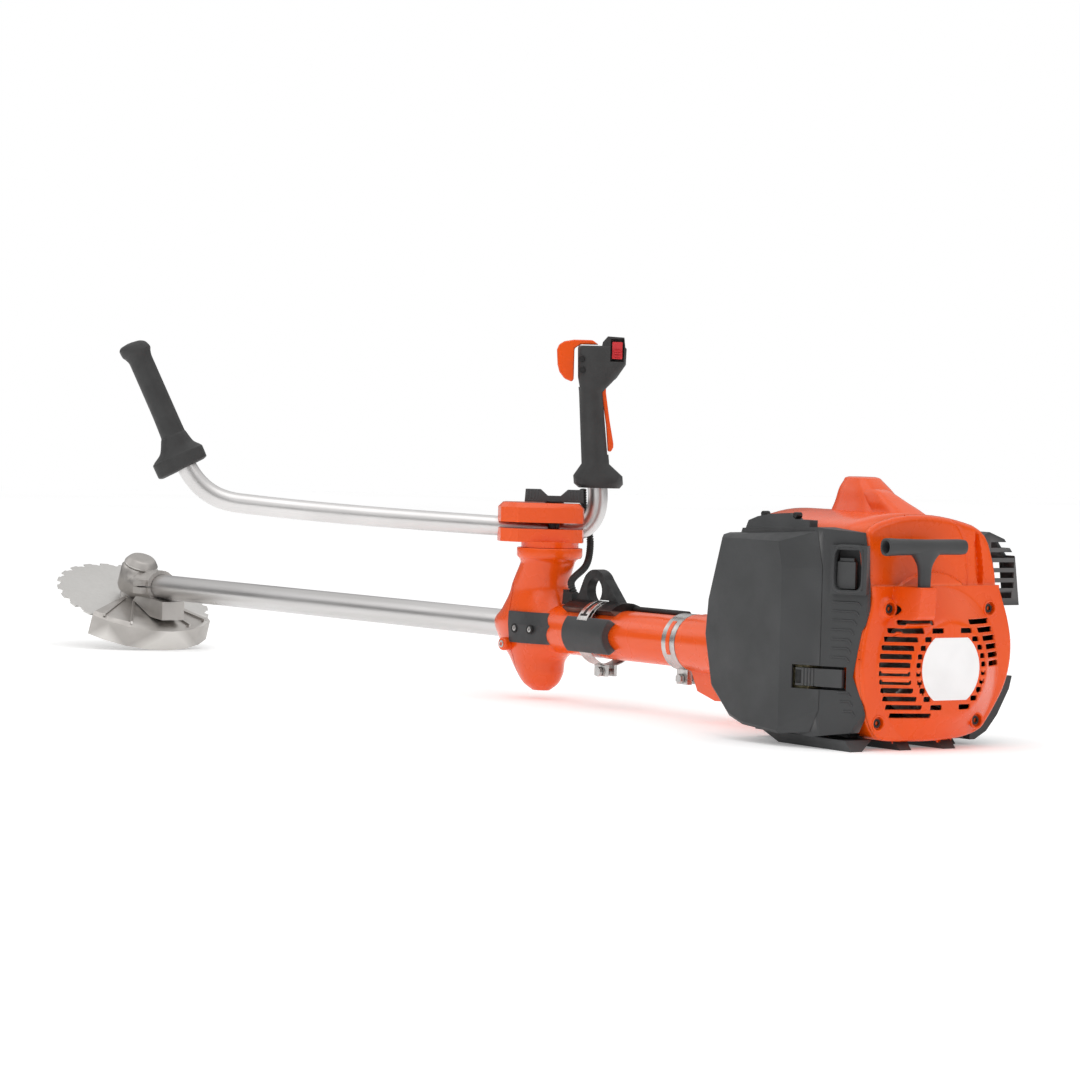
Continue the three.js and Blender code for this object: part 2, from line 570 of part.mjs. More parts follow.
function cableGrommet() {
  const body = hull([[556.5, -8, 122], [556.5, 8, 122], [577, -8, 122], [577, 8, 122], [560, -6, 136], [560, 6, 136],
    [578, -6, 140], [578, 6, 140]]);
  return piece("cable_grommet", cut(body, barX(SUPPORT_R + GAP, 540, 600, 28), columnBody(GAP), cableRoom(4.9)), black());
}

// ---------- handlebar, drawn with +X along the bar, +Y towards the rear and its origin on the column axis ----------

const barHeight = (w) => BAR_Z + BAR_RISE * w;
const at = (w, z, e = BAR_E) => new THREE.Vector3(w, e, z);

/** Centre line of the bent handlebar, from inside the throttle grip to the end of the left grip. */
function barCurve() {
  const path = new THREE.CurvePath();
  const line = (a, b) => path.add(new THREE.LineCurve3(a, b));
  const bend = (a, corner, b) => path.add(new THREE.QuadraticBezierCurve3(a, corner, b));
  const soft = (a, c1, c2, b) => path.add(new THREE.CubicBezierCurve3(a, c1, c2, b));
  line(at(-56, 304), at(-58.6, 258));
  soft(at(-58.6, 258), at(-60.2, 232), at(-50, barHeight(-24) - 1), at(-24, barHeight(-24)));
  line(at(-24, barHeight(-24)), at(140, barHeight(140)));
  soft(at(140, barHeight(140)), at(240, barHeight(240)), at(320, 228), at(392, 235));
  bend(at(392, 235), at(440, 240), at(462, 286));
  line(at(462, 286), at(522, 414));
  return path;
}

function handlebar() {
  return piece("handlebar", pipe(barCurve(), BAR_R, BAR_R - 2, 34, 7), drawnAluminium());
}

/** Straight bar through the clamp, for the clamp's groove. */
function clampBore(radius) {
  const line = new THREE.LineCurve3(at(-70, barHeight(-70)), at(90, barHeight(90)));
  return pipe(line, radius, 0, 1, 9);
}

const clampPlan = [[-42, -2], [-40, 18], [-30, 24], [40, 24], [62, 6], [66, -12], [62, -38], [-12, -38], [-16, -30],
  [-17, -5]];

function clampLower() {
  const body = join(slabZ(clampPlan, 197, 213.6), barZ(36, 190.4, 198, 0, 0, 24));
  return piece("clamp_lower", cut(body, clampBore(BAR_R + GAP), barZ(5, 185, 220, -4, 0, 16)), orange());
}

function clampUpper() {
  const crown = hull([...clampPlan.map(([w, e]) => [w, e, 221.6]), ...clampPlan.map(([w, e]) => [w, e, 240]),
    ...grown(clampPlan, -6).map(([w, e]) => [w, e, 246])]).intersect(slabZ(clampPlan, 221, 247));
  return piece("clamp_upper", cut(crown, clampBore(BAR_R + GAP), barZ(5, 215, 250, -4, 0, 16)), orange());
}

function wingKnob() {
  const wing = cut(
    slabY([[-37, 247], [37, 247], [36, 263], [17, 263], [8, 255], [-8, 255], [-17, 263], [-36, 263]], -8, 8),
    ...count(4, (i) => box(-33 + 4 * i, -31 + 4 * i, 7.4, 9, 250, 266)),
    ...count(4, (i) => box(19 + 4 * i, 21 + 4 * i, 7.4, 9, 250, 266)),
  );
  return piece("wing_knob", join(wing, barZ(11, 246.3, 249, 0, 0, 20), barZ(4.6, 191, 250, 0, 0, 16)).translate([-4, 0, 0]), grey());
}

/** A solid drawn upright at the origin, set on the bar at w, z and leaning by degrees in the bar's plane. */
function onBar(body, w, z, lean) {
  return body.rotate([0, lean, 0]).translate([w, BAR_E, z]);
}

function leftGrip() {
  const lean = 25.1;
  const body = loft([
    { z: -24, x: 5, a: 30, b: 18, p: 3 },
    { z: -20, x: 5, a: 33, b: 21, p: 3 },
    { z: -6, x: 5, a: 33.5, b: 22, p: 3 },
    { z: 4, x: 2, a: 23, b: 18, p: 2.6 },
    { z: 18, x: 0, a: 17, b: 16.5 },
    { z: 60, x: -1, a: 15.2, b: 15 },
    { z: 120, x: -1, a: 15, b: 15 },
    { z: 134, x: 0, a: 19, b: 17.5 },
    { z: 143, x: 2, a: 17, b: 15.5 },
    { z: 147, x: 4, a: 9, b: 9 },
  ], 18);
  const room = pipe(new THREE.LineCurve3(at(449, 258), at(527, 424.4)), BAR_R + 0.9, 0, 1, 7);
  return piece("left_grip", cut(onBar(body, 468, 300, lean), room, pipe(barCurve(), BAR_R + 0.9, 0, 34, 7)), grey());
}

/** Both halves of the throttle grip in one, before they are split. */
function gripBody() {
  const stock = loft([
    { z: 266, x: -60, y: BAR_E, a: 26, b: 19, p: 3.4 },
    { z: 271, x: -59, y: BAR_E, a: 31, b: 23, p: 3.4 },
    { z: 281, x: -58, y: BAR_E, a: 31, b: 22, p: 3.4 },
    { z: 296, x: -54.5, y: BAR_E, a: 17.5, b: 17 },
    { z: 386, x: -47, y: BAR_E, a: 15.5, b: 15.5 },
    { z: 405, x: -54, y: BAR_E, a: 25, b: 16.5, p: 3 },
    { z: 421, x: -59, y: BAR_E, a: 30.5, b: 17, p: 3.4 },
    { z: 441, x: -59, y: BAR_E, a: 31, b: 17, p: 3.4 },
    { z: 444, x: -58, y: BAR_E, a: 29, b: 15, p: 3.4 },
  ], 20);
  const switchHouse = hull([-1, 1].flatMap((side) => [[-58, BAR_E + 15 * side, 438], [-89.5, BAR_E + 15 * side, 430],
    [-66, BAR_E + 14 * side, 456], [-86.5, BAR_E + 14 * side, 455], [-60, BAR_E + 14 * side, 449]]));
  const lockoutRoom = box(-46, -20, BAR_E - 7.2, BAR_E + 7.2, 392, 460);
  const triggerRoom = box(-100, -54, BAR_E - 6.5, BAR_E + 6.5, 308, 402);
  const switchRoom = box(-86.5, -69.5, BAR_E + 6.5, BAR_E + 30, 424.5, 453);
  return cut(join(stock, switchHouse), pipe(barCurve(), BAR_R + 0.9, 0, 34, 7), barZ(9, 300, 330, -54, BAR_E, 10),
    lockoutRoom, triggerRoom, switchRoom);
}

function throttleGrip(side, low, high) {
  return piece(`throttle_grip_${side}`, gripBody().intersect(box(-110, 0, low, high, 250, 470)), grey());
}

function throttleTrigger() {
  const lever = slabY([[-60, 398], [-65, 398], [-65.5, 385], [-71, 350], [-76.4, 322], [-76.4, 317], [-73.7, 311.7],
    [-69.5, 312], [-66.5, 345], [-60, 385]], BAR_E - 6, BAR_E + 6);
  return piece("throttle_trigger", lever, orange());
}

function throttleLockout() {
  const lever = slabY([[-55, 445.2], [-47, 451], [-24, 451], [-11.7, 448.8], [-5, 444.5], [-2.5, 438], [-3.7, 419],
    [-6.4, 410], [-13, 401.7], [-22.5, 398], [-24.5, 402], [-24.5, 440], [-32, 445.2]], BAR_E - 6.5, BAR_E + 6.5);
  return piece("throttle_lockout", lever, orange());
}

function stopSwitch() {
  const profile = [[-31.5 - BAR_E, 427.5], [-3.5, 428], [-5.5, 438], [-2.5, 449], [-31.5 - BAR_E, 449.5]];
  return piece("stop_switch", slabX(profile, -84.5, -71.5), red());
}

/** Route of the throttle cable in the machine's own axes: from under the throttle grip to the grommet. */
function cableCurve() {
  const turn = (w, e, z) => new THREE.Vector3(w, e, z).applyAxisAngle(new THREE.Vector3(0, 0, 1), BAR_TURN)
    .add(new THREE.Vector3(COLUMN_X, 0, 0));
  return new THREE.CatmullRomCurve3([
    turn(-40, -38, 263), turn(-42, -45, 240), turn(-49, -47, 212), turn(-51, -38, 190),
    turn(-46, -14, 168), new THREE.Vector3(576, -5, 150), new THREE.Vector3(564, -3, 132),
  ], false, "centripetal");
}

const cableRoom = (radius) => pipe(cableCurve(), radius, 0, 24, 5);

function throttleCable() {
  return piece("throttle_cable", cableRoom(4.3), black());
}

// ---------- gear head, drawn with the blade arbor along +Z and its origin where it meets the drive shaft ----------

/** From the gear head's own axes to the machine's. */
const toMachine = (body) => body.rotate([0, -23, 0]).translate([HEAD_X, 0, SHAFT_Z]);

function gearHousing() {
  const tower = toMachine(turned([[0, -10], [24, -10], [27, -4], [27, 26], [24, 30], [0, 30]]));
  const socket = turnedX([[0, 1560], [23.5, 1560], [23.5, 1604], [26, 1622], [0, 1626]]);
  const arm = hull([-1, 1].flatMap((side) => [[1526, 18 * side, 70], [1526, 18 * side, 44], [1556, 20 * side, 47.5],
    [1606, 20 * side, 68.7], [1600, 16 * side, 78]]));
  const ears = box(1564, 1586, 20, 32, 80, 100);
  const body = cut(
    join(tower, socket, arm, ears),
    barX(TUBE_R + GAP, 1500, 1604, 28),
    barX(12.6, 1600, 1618),
    toMachine(barZ(40, 30, 60, 0, 0, 8)),
    toMachine(barZ(150, -90, -10, 0, 0, 8)),
    toMachine(barZ(20, -5, 31)),
    toMachine(barZ(8.4, -12, 0)),
    box(1555, 1590, 16, 40, 89, 91),
  );
  return piece("gear_housing", body, castAluminium());
}

function gearCap() {
  const cap = turned([[0, 30.3], [24, 30.3], [25, 33], [20, 40], [17, 43], [0, 43]]);
  return piece("gear_cap", cut(cap, barZ(7.6, 30, 35)), castAluminium());
}

/** Toothed cone with its point at the origin and its axis along +Z. */
function bevel(teeth, halfAngle, near, far, toothDepth) {
  const onCone = (distance) => [distance * Math.sin(halfAngle), distance * Math.cos(halfAngle)];
  const cone = turned([[0, onCone(near)[1]], onCone(near), onCone(far), [0, onCone(far)[1]]], teeth);
  const width = (Math.PI * onCone(far)[0]) / teeth;
  const notches = count(teeth, (i) => solid(new THREE.BoxGeometry(toothDepth * 2, width * 0.8, far * 2)
    .translate(0, 0, far))
    .rotate([0, THREE.MathUtils.radToDeg(halfAngle), 0])
    .rotate([0, 0, (360 / teeth) * i]));
  return cut(cone, ...notches);
}

const SHAFT_ANGLE = Math.PI / 2 - HEAD_TILT;
const PINION_HALF = Math.atan2(Math.sin(SHAFT_ANGLE), GEAR_TEETH / PINION_TEETH + Math.cos(SHAFT_ANGLE));
const GEAR_HALF = SHAFT_ANGLE - PINION_HALF;
const CONE_CLEARANCE = 0.02;

function bevelPinion() {
  const cone = bevel(PINION_TEETH, PINION_HALF - CONE_CLEARANCE, 17, 25, 1.2);
  return piece("bevel_pinion", cut(cone.rotate([0, -90, 0]).translate([HEAD_X, 0, SHAFT_Z]), barX(4.9, 1590, 1625, 12)), steel());
}

function bladeArbor() {
  const gear = bevel(GEAR_TEETH, GEAR_HALF - CONE_CLEARANCE, 18, 25, 1.2);
  const shaft = turned([[0, -38], [6, -38], [6, -23.6], [12.4, -23.5], [12.4, -20.9], [20, -20.8], [20, -12], [8, -10.6], [8, 1],
    [3.8, 6], [3.8, 14], [7.2, 20], [7.2, 33], [0, 33]], 16);
  return piece("blade_arbor", join(gear, shaft), steel());
}

function sawBlade() {
  const rim = [];
  for (let i = 0; i < BLADE_TEETH; i += 1) {
    const step = (2 * Math.PI) / BLADE_TEETH;
    const corner = (radius, part) => rim.push([radius * Math.cos((i + part) * step), radius * Math.sin((i + part) * step)]);
    corner(BLADE_R, 0);
    corner(BLADE_R - 1.5, 0.3);
    corner(BLADE_R - 3, 0.62);
    corner(BLADE_R - 9, 0.72);
    corner(BLADE_R - 9.5, 0.92);
  }
  return piece("saw_blade", cut(slabZ(rim, -22.5, -20.95), barZ(12.7, -24, -20)), steel());
}

function bladeNut() {
  const cup = turned([[6.3, -31], [17, -31], [25, -24.5], [24, -22.8], [13.4, -22.8], [13, -24.2], [6.3, -24.2],
    [6.3, -31]], 24);
  const hex = cut(barZ(11, -36.5, -30.8, 0, 0, 6), barZ(6.3, -40, -30));
  return piece("blade_nut", join(cup, hex), darkSteel());
}

function bladeGuard() {
  const start = 122;
  const sweep = 101;
  const rim = 120.5;
  const low = -(SHAFT_Z - rim * Math.sin(HEAD_TILT)) / Math.cos(HEAD_TILT);
  const profile = [[26, -14], [60, -13.6], [112, -15.6], [117, -18], [117.5, low], [rim, low],
    [120, -17], [114, -12], [60, -11], [26, -11], [26, -14]];
  const lathe = new THREE.LatheGeometry(profile.map((p) => new THREE.Vector2(...p)), 24, 0, 2 * Math.PI);
  const whole = solid(lathe.rotateX(Math.PI / 2));
  const far = 200;
  const radians = THREE.MathUtils.degToRad;
  const ray = (degrees) => [far * Math.cos(radians(degrees)), far * Math.sin(radians(degrees))];
  const sector = slabZ([[0, 0], ray(start), ray(start + sweep / 2), ray(start + sweep)], -60, 0);
  const ribs = [130, 150, 196, 214].map((degrees) => turnedBy(box(40, 117, -1.6, 1.6, -13, -9), [0, 0, 1], degrees));
  const armRoom = box(-140, -20, -21, 21, -10.9, 0);
  return piece("blade_guard", cut(join(whole.intersect(sector), ...ribs), armRoom), castAluminium());
}

// ---------- assembly ----------

const machine = new THREE.Group();
machine.add(
  starterCover(), cylinderCover(), fuelTank(), fuelCap(), crankcase(), cylinder(), sparkPlug(), crankshaft(),
  flywheelFan(), recoilPulley(), pullHandle(), muffler(), mufflerGuardUpper(), mufflerGuardLower(), carburettor(),
  filterBase(), airFilter(), airFilterCover(), filterLatch(), startButton(),
  ...["top_left", "top_right", "low_left", "low_right"].map(coverScrew),
  clutchDrum(), clutchHousing(), bandClamp(), bandBolt(), supportTube(), tubeBush("rear", 268),
  tubeBush("front", 556), shaftTube(), driveShaft(), cableGuide(),
  suspensionPad(), suspensionEye(), suspensionStrap(), suspensionPin(),
  handleColumn(), columnShell(), columnPad(), cableGrommet(), throttleCable(), gearHousing(), bevelPinion(),
);

const bars = new THREE.Group();
bars.position.set(COLUMN_X, 0, 0);
bars.rotation.z = BAR_TURN;
bars.add(
  clampLower(), clampUpper(), wingKnob(), handlebar(), leftGrip(),
  throttleGrip("rear", BAR_E + 0.15, BAR_E + 40), throttleGrip("front", BAR_E - 40, BAR_E - 0.15),
  throttleTrigger(), throttleLockout(), stopSwitch(),
);
machine.add(bars);

const head = new THREE.Group();
head.position.set(HEAD_X, 0, SHAFT_Z);
head.rotation.y = -HEAD_TILT;
head.add(gearCap(), bladeArbor(), sawBlade(), bladeNut(), bladeGuard());
machine.add(head);

export default machine;
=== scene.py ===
# Brush cutter with bicycle handlebars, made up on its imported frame. Metres; +X forward, +Y left, +Z up.
import json
import bmesh
import bpy
import numpy as np
from mathutils import Matrix, Vector


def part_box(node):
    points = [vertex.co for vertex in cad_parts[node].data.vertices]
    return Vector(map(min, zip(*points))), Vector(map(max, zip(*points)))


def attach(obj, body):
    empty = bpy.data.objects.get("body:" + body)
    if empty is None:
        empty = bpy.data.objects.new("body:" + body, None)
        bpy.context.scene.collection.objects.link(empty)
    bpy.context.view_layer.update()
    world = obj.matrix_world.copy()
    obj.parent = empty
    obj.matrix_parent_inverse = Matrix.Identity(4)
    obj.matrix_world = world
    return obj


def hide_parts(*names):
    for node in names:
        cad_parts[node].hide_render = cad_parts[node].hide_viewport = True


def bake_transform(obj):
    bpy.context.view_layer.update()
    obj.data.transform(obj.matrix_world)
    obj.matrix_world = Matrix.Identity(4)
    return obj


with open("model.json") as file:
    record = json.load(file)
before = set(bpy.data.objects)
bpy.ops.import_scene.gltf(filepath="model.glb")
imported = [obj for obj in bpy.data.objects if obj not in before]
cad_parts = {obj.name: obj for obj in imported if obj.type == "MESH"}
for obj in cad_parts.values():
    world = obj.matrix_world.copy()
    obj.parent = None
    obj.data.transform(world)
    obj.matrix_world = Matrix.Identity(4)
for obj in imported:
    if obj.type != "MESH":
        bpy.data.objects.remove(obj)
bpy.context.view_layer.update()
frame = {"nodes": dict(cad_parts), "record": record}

# ---- Camera, floor and light ----
# A long lens from the left rear of the machine, a plain pale floor sheet, and soft boxes as in a product
# studio.
EYE = Vector((-3.532, 3.032, 0.385))
YAW, PITCH, ROLL = np.radians((-36.02, 2.07, 1.51))
look = Vector((np.cos(YAW) * np.cos(PITCH), np.sin(YAW) * np.cos(PITCH), -np.sin(PITCH)))
right = look.cross(Vector((0, 0, 1))).normalized()
upward = right.cross(look)
right, upward = right * np.cos(ROLL) + upward * np.sin(ROLL), upward * np.cos(ROLL) - right * np.sin(ROLL)
camera = bpy.data.objects.new("camera", bpy.data.cameras.new("camera"))
camera.data.lens = 137
camera.data.sensor_width = 36
camera.matrix_world = Matrix((right, upward, -look)).transposed().to_4x4()
camera.matrix_world.translation = EYE
bpy.context.collection.objects.link(camera)
bpy.context.scene.camera = camera
bpy.context.scene.view_settings.view_transform = "Standard"


def linear(code):
    """sRGB hex to linear RGBA: ((c + 0.055) / 1.055) ^ 2.4 above the toe, c / 12.92 below it."""
    c = np.array([int(code[i:i + 2], 16) for i in (1, 3, 5)]) / 255
    return (*np.where(c > 0.04045, ((c + 0.055) / 1.055) ** 2.4, c / 12.92), 1.0)


def add(material, kind, links=None, **settings):
    """Adds a shader node to a material: plain values go on its settings, values or sockets on its inputs."""
    tree = material.node_tree
    made = tree.nodes.new(kind)
    for key, value in settings.items():
        setattr(made, key, value)
    for key, value in (links or {}).items():
        if isinstance(value, bpy.types.NodeSocket):
            tree.links.new(value, made.inputs[key])
        else:
            made.inputs[key].default_value = value
    return made


def surface_material(name, colour, roughness, metallic=0.0, bump=None, **sockets):
    """A Principled material: colour and roughness are plain or a function of the material giving a socket,
    bump is a function giving a height socket with its depth in metres."""
    material = bpy.data.materials.new(name)
    material.use_nodes = True
    shader = material.node_tree.nodes["Principled BSDF"]
    shader.inputs["Metallic"].default_value = metallic
    for key, value in (("Base Color", colour), ("Roughness", roughness)):
        if callable(value):
            material.node_tree.links.new(value(material), shader.inputs[key])
        else:
            shader.inputs[key].default_value = value
    for key, value in sockets.items():
        shader.inputs[key.replace("_", " ")].default_value = value
    if bump:
        height, depth = bump(material)
        relief = add(material, "ShaderNodeBump", {"Height": height, "Distance": depth, "Strength": 1.0})
        material.node_tree.links.new(relief.outputs["Normal"], shader.inputs["Normal"])
    return material


def noise(material, grain_mm, detail=2.0, stretch=(1, 1, 1)):
    """Noise in object space whose lumps are about grain_mm across, drawn out by stretch along x, y, z."""
    place = add(material, "ShaderNodeTexCoord").outputs["Object"]
    spread = add(material, "ShaderNodeMapping", {"Vector": place, "Scale": [1 / s for s in stretch]})
    return add(material, "ShaderNodeTexNoise", {"Vector": spread.outputs["Vector"], "Scale": 500 / grain_mm,
                                                "Detail": detail}).outputs["Fac"]


def between(material, factor, low, high, start=0.3, stop=0.7):
    """Colour ramp from low to high as the factor goes from start to stop."""
    ramp = add(material, "ShaderNodeValToRGB", {"Fac": factor})
    ramp.color_ramp.elements[0].position = start
    ramp.color_ramp.elements[0].color = low if len(low) == 4 else (*[low[0]] * 3, 1)
    ramp.color_ramp.elements[1].position = stop
    ramp.color_ramp.elements[1].color = high if len(high) == 4 else (*[high[0]] * 3, 1)
    return ramp.outputs["Color"]


def edge_wear_and_highlight(material, colour, wear_and_highlight, start=0.56, stop=0.62):
    """Lays a lighter colour over another where the surface is sharply convex: partly rubbed edge wear, partly
    a painted highlight along the edges.
    """
    sharp = add(material, "ShaderNodeNewGeometry").outputs["Pointiness"]
    mask = add(material, "ShaderNodeMapRange", {"Value": sharp, "From Min": start, "From Max": stop})
    return add(material, "ShaderNodeMix", {"Factor": mask.outputs["Result"], 6: colour, 7: wear_and_highlight},
               data_type="RGBA").outputs[2]


# Powder-like matt paper sheet: nearly white, with a faint cloudiness so that it isn't a flat tone
floor_paper = surface_material(
    "seamless_paper",
    lambda m: between(m, noise(m, 400), linear("#FAFAFA"), linear("#FFFFFF")), 0.9, 0.0,
    None, Emission_Color=linear("#FFFFFF"), Emission_Strength=0.22)
floor_mesh = bpy.data.meshes.new("floor_sheet")
floor_mesh.from_pydata([(-9, -9, 0), (9, -9, 0), (9, 9, 0), (-9, 9, 0)], [], [(0, 1, 2, 3)])
floor_mesh.materials.append(floor_paper)
floor = bpy.data.objects.new("floor_sheet", floor_mesh)
bpy.context.collection.objects.link(floor)


def soft_box(name, place, target, size, power):
    """Rectangular area light at a place, facing a target."""
    lamp = bpy.data.objects.new(name, bpy.data.lights.new(name, "AREA"))
    lamp.data.shape = "RECTANGLE"
    lamp.data.size, lamp.data.size_y = size
    lamp.data.energy = power
    lamp.location = place
    lamp.rotation_euler = (Vector(target) - Vector(place)).to_track_quat("-Z", "Y").to_euler()
    bpy.context.collection.objects.link(lamp)


soft_box("soft_box_above", (0.2, 0.6, 3.2), (0.6, 0, 0.1), (3.4, 2.4), 20)
soft_box("soft_box_left", (-0.6, 3.2, 1.5), (0.6, 0, 0.2), (2.6, 1.6), 12)
soft_box("soft_box_rear", (-3.0, -1.2, 1.6), (0.3, 0, 0.2), (1.8, 1.8), 12)
soft_box("soft_box_front", (3.4, 1.6, 1.8), (1.2, 0, 0.1), (1.6, 1.6), 5)
# The room is white to the camera. What the surfaces see is bright overhead and dim round the horizon, as
# black flags round a table make it, so that shiny faces keep their contrast.
room = bpy.data.worlds.new("studio")
bpy.context.scene.world = room
room.use_nodes = True
height = add(room, "ShaderNodeSeparateXYZ", {"Vector": add(room, "ShaderNodeTexCoord").outputs["Generated"]})
glow = add(room, "ShaderNodeMapRange", {"Value": height.outputs["Z"], "From Min": 0.15, "From Max": 0.6,
                                        "To Min": 0.22, "To Max": 0.92}, interpolation_type="SMOOTHSTEP")
seen = add(room, "ShaderNodeMix", {"Factor": add(room, "ShaderNodeLightPath").outputs["Is Camera Ray"],
                                   "A": glow.outputs["Result"], "B": 1.0})
room.node_tree.links.new(seen.outputs["Result"], room.node_tree.nodes["Background"].inputs["Strength"])
room.node_tree.nodes["Background"].inputs["Color"].default_value = linear("#FFFFFF")

# ---- Shaft tube ----
# The long drawn aluminium tube that carries the drive shaft from the engine to the gear head. It is cut
# square, slid into the rubber rings of the support tube and clamped in the gear head.


def sheet_mesh(name, grids, material, smooth_below=40):
    """One object from point grids shaped (rows, columns, 3). Each grid is (points, wrap rows, wrap columns,
    caps): neighbouring points make quads, a wrapped side joins its last line to its first, and caps close
    the first and last rows with one face."""
    vertices, faces, base = [], [], 0
    for points, wrap_rows, wrap_columns, caps in grids:
        rows, columns = points.shape[:2]
        index = np.arange(rows * columns).reshape(rows, columns) + base
        r = np.arange(rows if wrap_rows else rows - 1)
        c = np.arange(columns if wrap_columns else columns - 1)
        r, c = np.meshgrid(r, c, indexing="ij")
        r2, c2 = (r + 1) % rows, (c + 1) % columns
        quads = np.stack([index[r, c], index[r, c2], index[r2, c2], index[r2, c]], -1).reshape(-1, 4)
        faces += quads.tolist()
        if caps:
            faces += [index[0, ::-1].tolist(), index[-1].tolist()]
        vertices.append(points.reshape(-1, 3))
        base += rows * columns
    mesh = bpy.data.meshes.new(name)
    mesh.from_pydata(np.concatenate(vertices).tolist(), [], faces)
    tidy = bmesh.new()
    tidy.from_mesh(mesh)
    bmesh.ops.remove_doubles(tidy, verts=tidy.verts, dist=1e-6)
    bmesh.ops.recalc_face_normals(tidy, faces=tidy.faces)
    tidy.to_mesh(mesh)
    tidy.free()
    mesh.shade_smooth()
    mesh.set_sharp_from_angle(angle=np.radians(smooth_below))
    mesh.materials.append(material)
    made = bpy.data.objects.new(name, mesh)
    bpy.context.collection.objects.link(made)
    return made


def put(made, body, slot, *nodes):
    """Rides a piece on its body and lets it stand for CAD nodes, whose imported solids are hidden. Its slot
    is not used.
    """
    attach(made, body)
    if nodes:
        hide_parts(*nodes)
    return made


def axes_of(direction):
    """Unit direction with two unit vectors square to it."""
    d = np.array(direction, float)
    d /= np.linalg.norm(d)
    a = np.cross((0, 0, 1) if abs(d[2]) < 0.9 else (1, 0, 0), d)
    a /= np.linalg.norm(a)
    return d, a, np.cross(d, a)


def turned(profile, centre=(0, 0, 0), direction=(1, 0, 0), steps=64, arc=(0, 2 * np.pi)):
    """Surface of revolution: point(h, t) = centre + h * direction + r * (cos t * side + sin t * other side),
    where the profile is [r, h] in millimetres and runs along the rows."""
    d, a, b = axes_of(direction)
    r, h = np.array(profile, float).T / 1000
    whole = abs(arc[1] - arc[0] - 2 * np.pi) < 1e-9
    t = np.linspace(arc[0], arc[1], steps + (0 if whole else 1), endpoint=not whole)
    around = np.cos(t)[:, None] * a + np.sin(t)[:, None] * b
    points = np.array(centre) / 1000 + h[:, None, None] * d + r[:, None, None] * around
    return points, False, whole, False


def rounded(profile, radius=1.0, steps=4):
    """The profile with each inner corner replaced by an arc-like curve: p(t) = (1-t)^2 a + 2t(1-t) corner +
    t^2 b."""
    p = np.array(profile, float)
    before, corner, after = p[:-2], p[1:-1], p[2:]
    reach = lambda q: np.minimum(radius, np.linalg.norm(q - corner, axis=1) * 0.45)[:, None]
    unit = lambda q: (q - corner) / np.maximum(np.linalg.norm(q - corner, axis=1), 1e-9)[:, None]
    a, b = corner + unit(before) * reach(before), corner + unit(after) * reach(after)
    t = np.linspace(0, 1, steps)[None, :, None]
    arcs = (1 - t) ** 2 * a[:, None] + 2 * t * (1 - t) * corner[:, None] + t ** 2 * b[:, None]
    return np.concatenate([p[:1], arcs.reshape(-1, p.shape[1]), p[-1:]])


# Drawn aluminium: pale grey with long fine die lines along the tube and soft blotches from handling
drawn_aluminium = surface_material(
    "drawn_aluminium",
    lambda m: between(m, noise(m, 9, 3, (30, 1, 1)), linear("#C6C4C2"), linear("#DCDADA"), 0.25, 0.75),
    lambda m: between(m, noise(m, 30, 3, (4, 1, 1)), (0.26,), (0.40,)), 1.0,
    lambda m: (noise(m, 1.2, 2, (60, 1, 1)), 0.00003))
put(sheet_mesh("shaft_tube_skin",
               [turned(rounded([[15.5, 264], [17.5, 264], [17.5, 1603], [15.5, 1603], [15.5, 264]], 0.8),
                       (0, 0, 90))], drawn_aluminium), "chassis", "drawn_aluminium", "shaft_tube")

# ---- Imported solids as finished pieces, and the plastics and metals they share ----
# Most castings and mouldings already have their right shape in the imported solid. They keep it, with hard
# edges rounded as a mould or a tumbling drum leaves them.


def worked(node, material, slot, edge=0.5, smooth_below=38, dissolve=1.0):
    """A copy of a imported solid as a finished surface: its vertices are merged, its flat faces made whole,
    and its edges rounded by a radius in millimetres."""
    source = frame["nodes"][node]
    mesh = source.data.copy()
    mesh.name = node + "_skin"
    tidy = bmesh.new()
    tidy.from_mesh(mesh)
    bmesh.ops.remove_doubles(tidy, verts=tidy.verts, dist=2e-6)
    bmesh.ops.dissolve_limit(tidy, angle_limit=np.radians(dissolve), verts=tidy.verts, edges=tidy.edges)
    tidy.to_mesh(mesh)
    tidy.free()
    mesh.materials.clear()
    mesh.materials.append(material)
    mesh.shade_smooth()
    mesh.set_sharp_from_angle(angle=np.radians(smooth_below))
    made = bpy.data.objects.new(node + "_skin", mesh)
    bpy.context.collection.objects.link(made)
    if edge:
        bevel = made.modifiers.new("rounded edges", "BEVEL")
        bevel.width = edge / 1000
        bevel.segments = 2
        bevel.limit_method = "ANGLE"
        bevel.angle_limit = np.radians(smooth_below)
        bevel.harden_normals = True
    bodies = frame["record"]["behaviour"]["bodies"]
    return put(made, next(b for b in bodies if node in bodies[b]), slot, node)


# Glossy orange ABS, injection moulded: clean saturated colour, very faint flow marks, lighter at sharp edges,
# partly rubbed and partly a painted edge highlight
orange_abs = surface_material(
    "moulded_orange_abs",
    lambda m: edge_wear_and_highlight(m, between(m, noise(m, 60), linear("#E84E00"), linear("#F05604")), linear("#F4632A")),
    lambda m: between(m, noise(m, 14, 4), (0.22,), (0.32,)), 0.0,
    lambda m: (noise(m, 1.6, 3), 0.00003), Coat_Weight=0.2, Coat_Roughness=0.08, Specular_IOR_Level=0.35)
# Dark grey glass-filled nylon: fine spark-eroded texture, lighter at sharp edges, partly dust and partly a
# painted edge highlight
grey_nylon = surface_material(
    "textured_grey_nylon",
    lambda m: edge_wear_and_highlight(m, between(m, noise(m, 24, 4), linear("#333435"), linear("#3D3E3F")), linear("#5A5A5A")),
    lambda m: between(m, noise(m, 6, 4), (0.46,), (0.60,)), 0.0,
    lambda m: (noise(m, 0.9, 3), 0.00006))
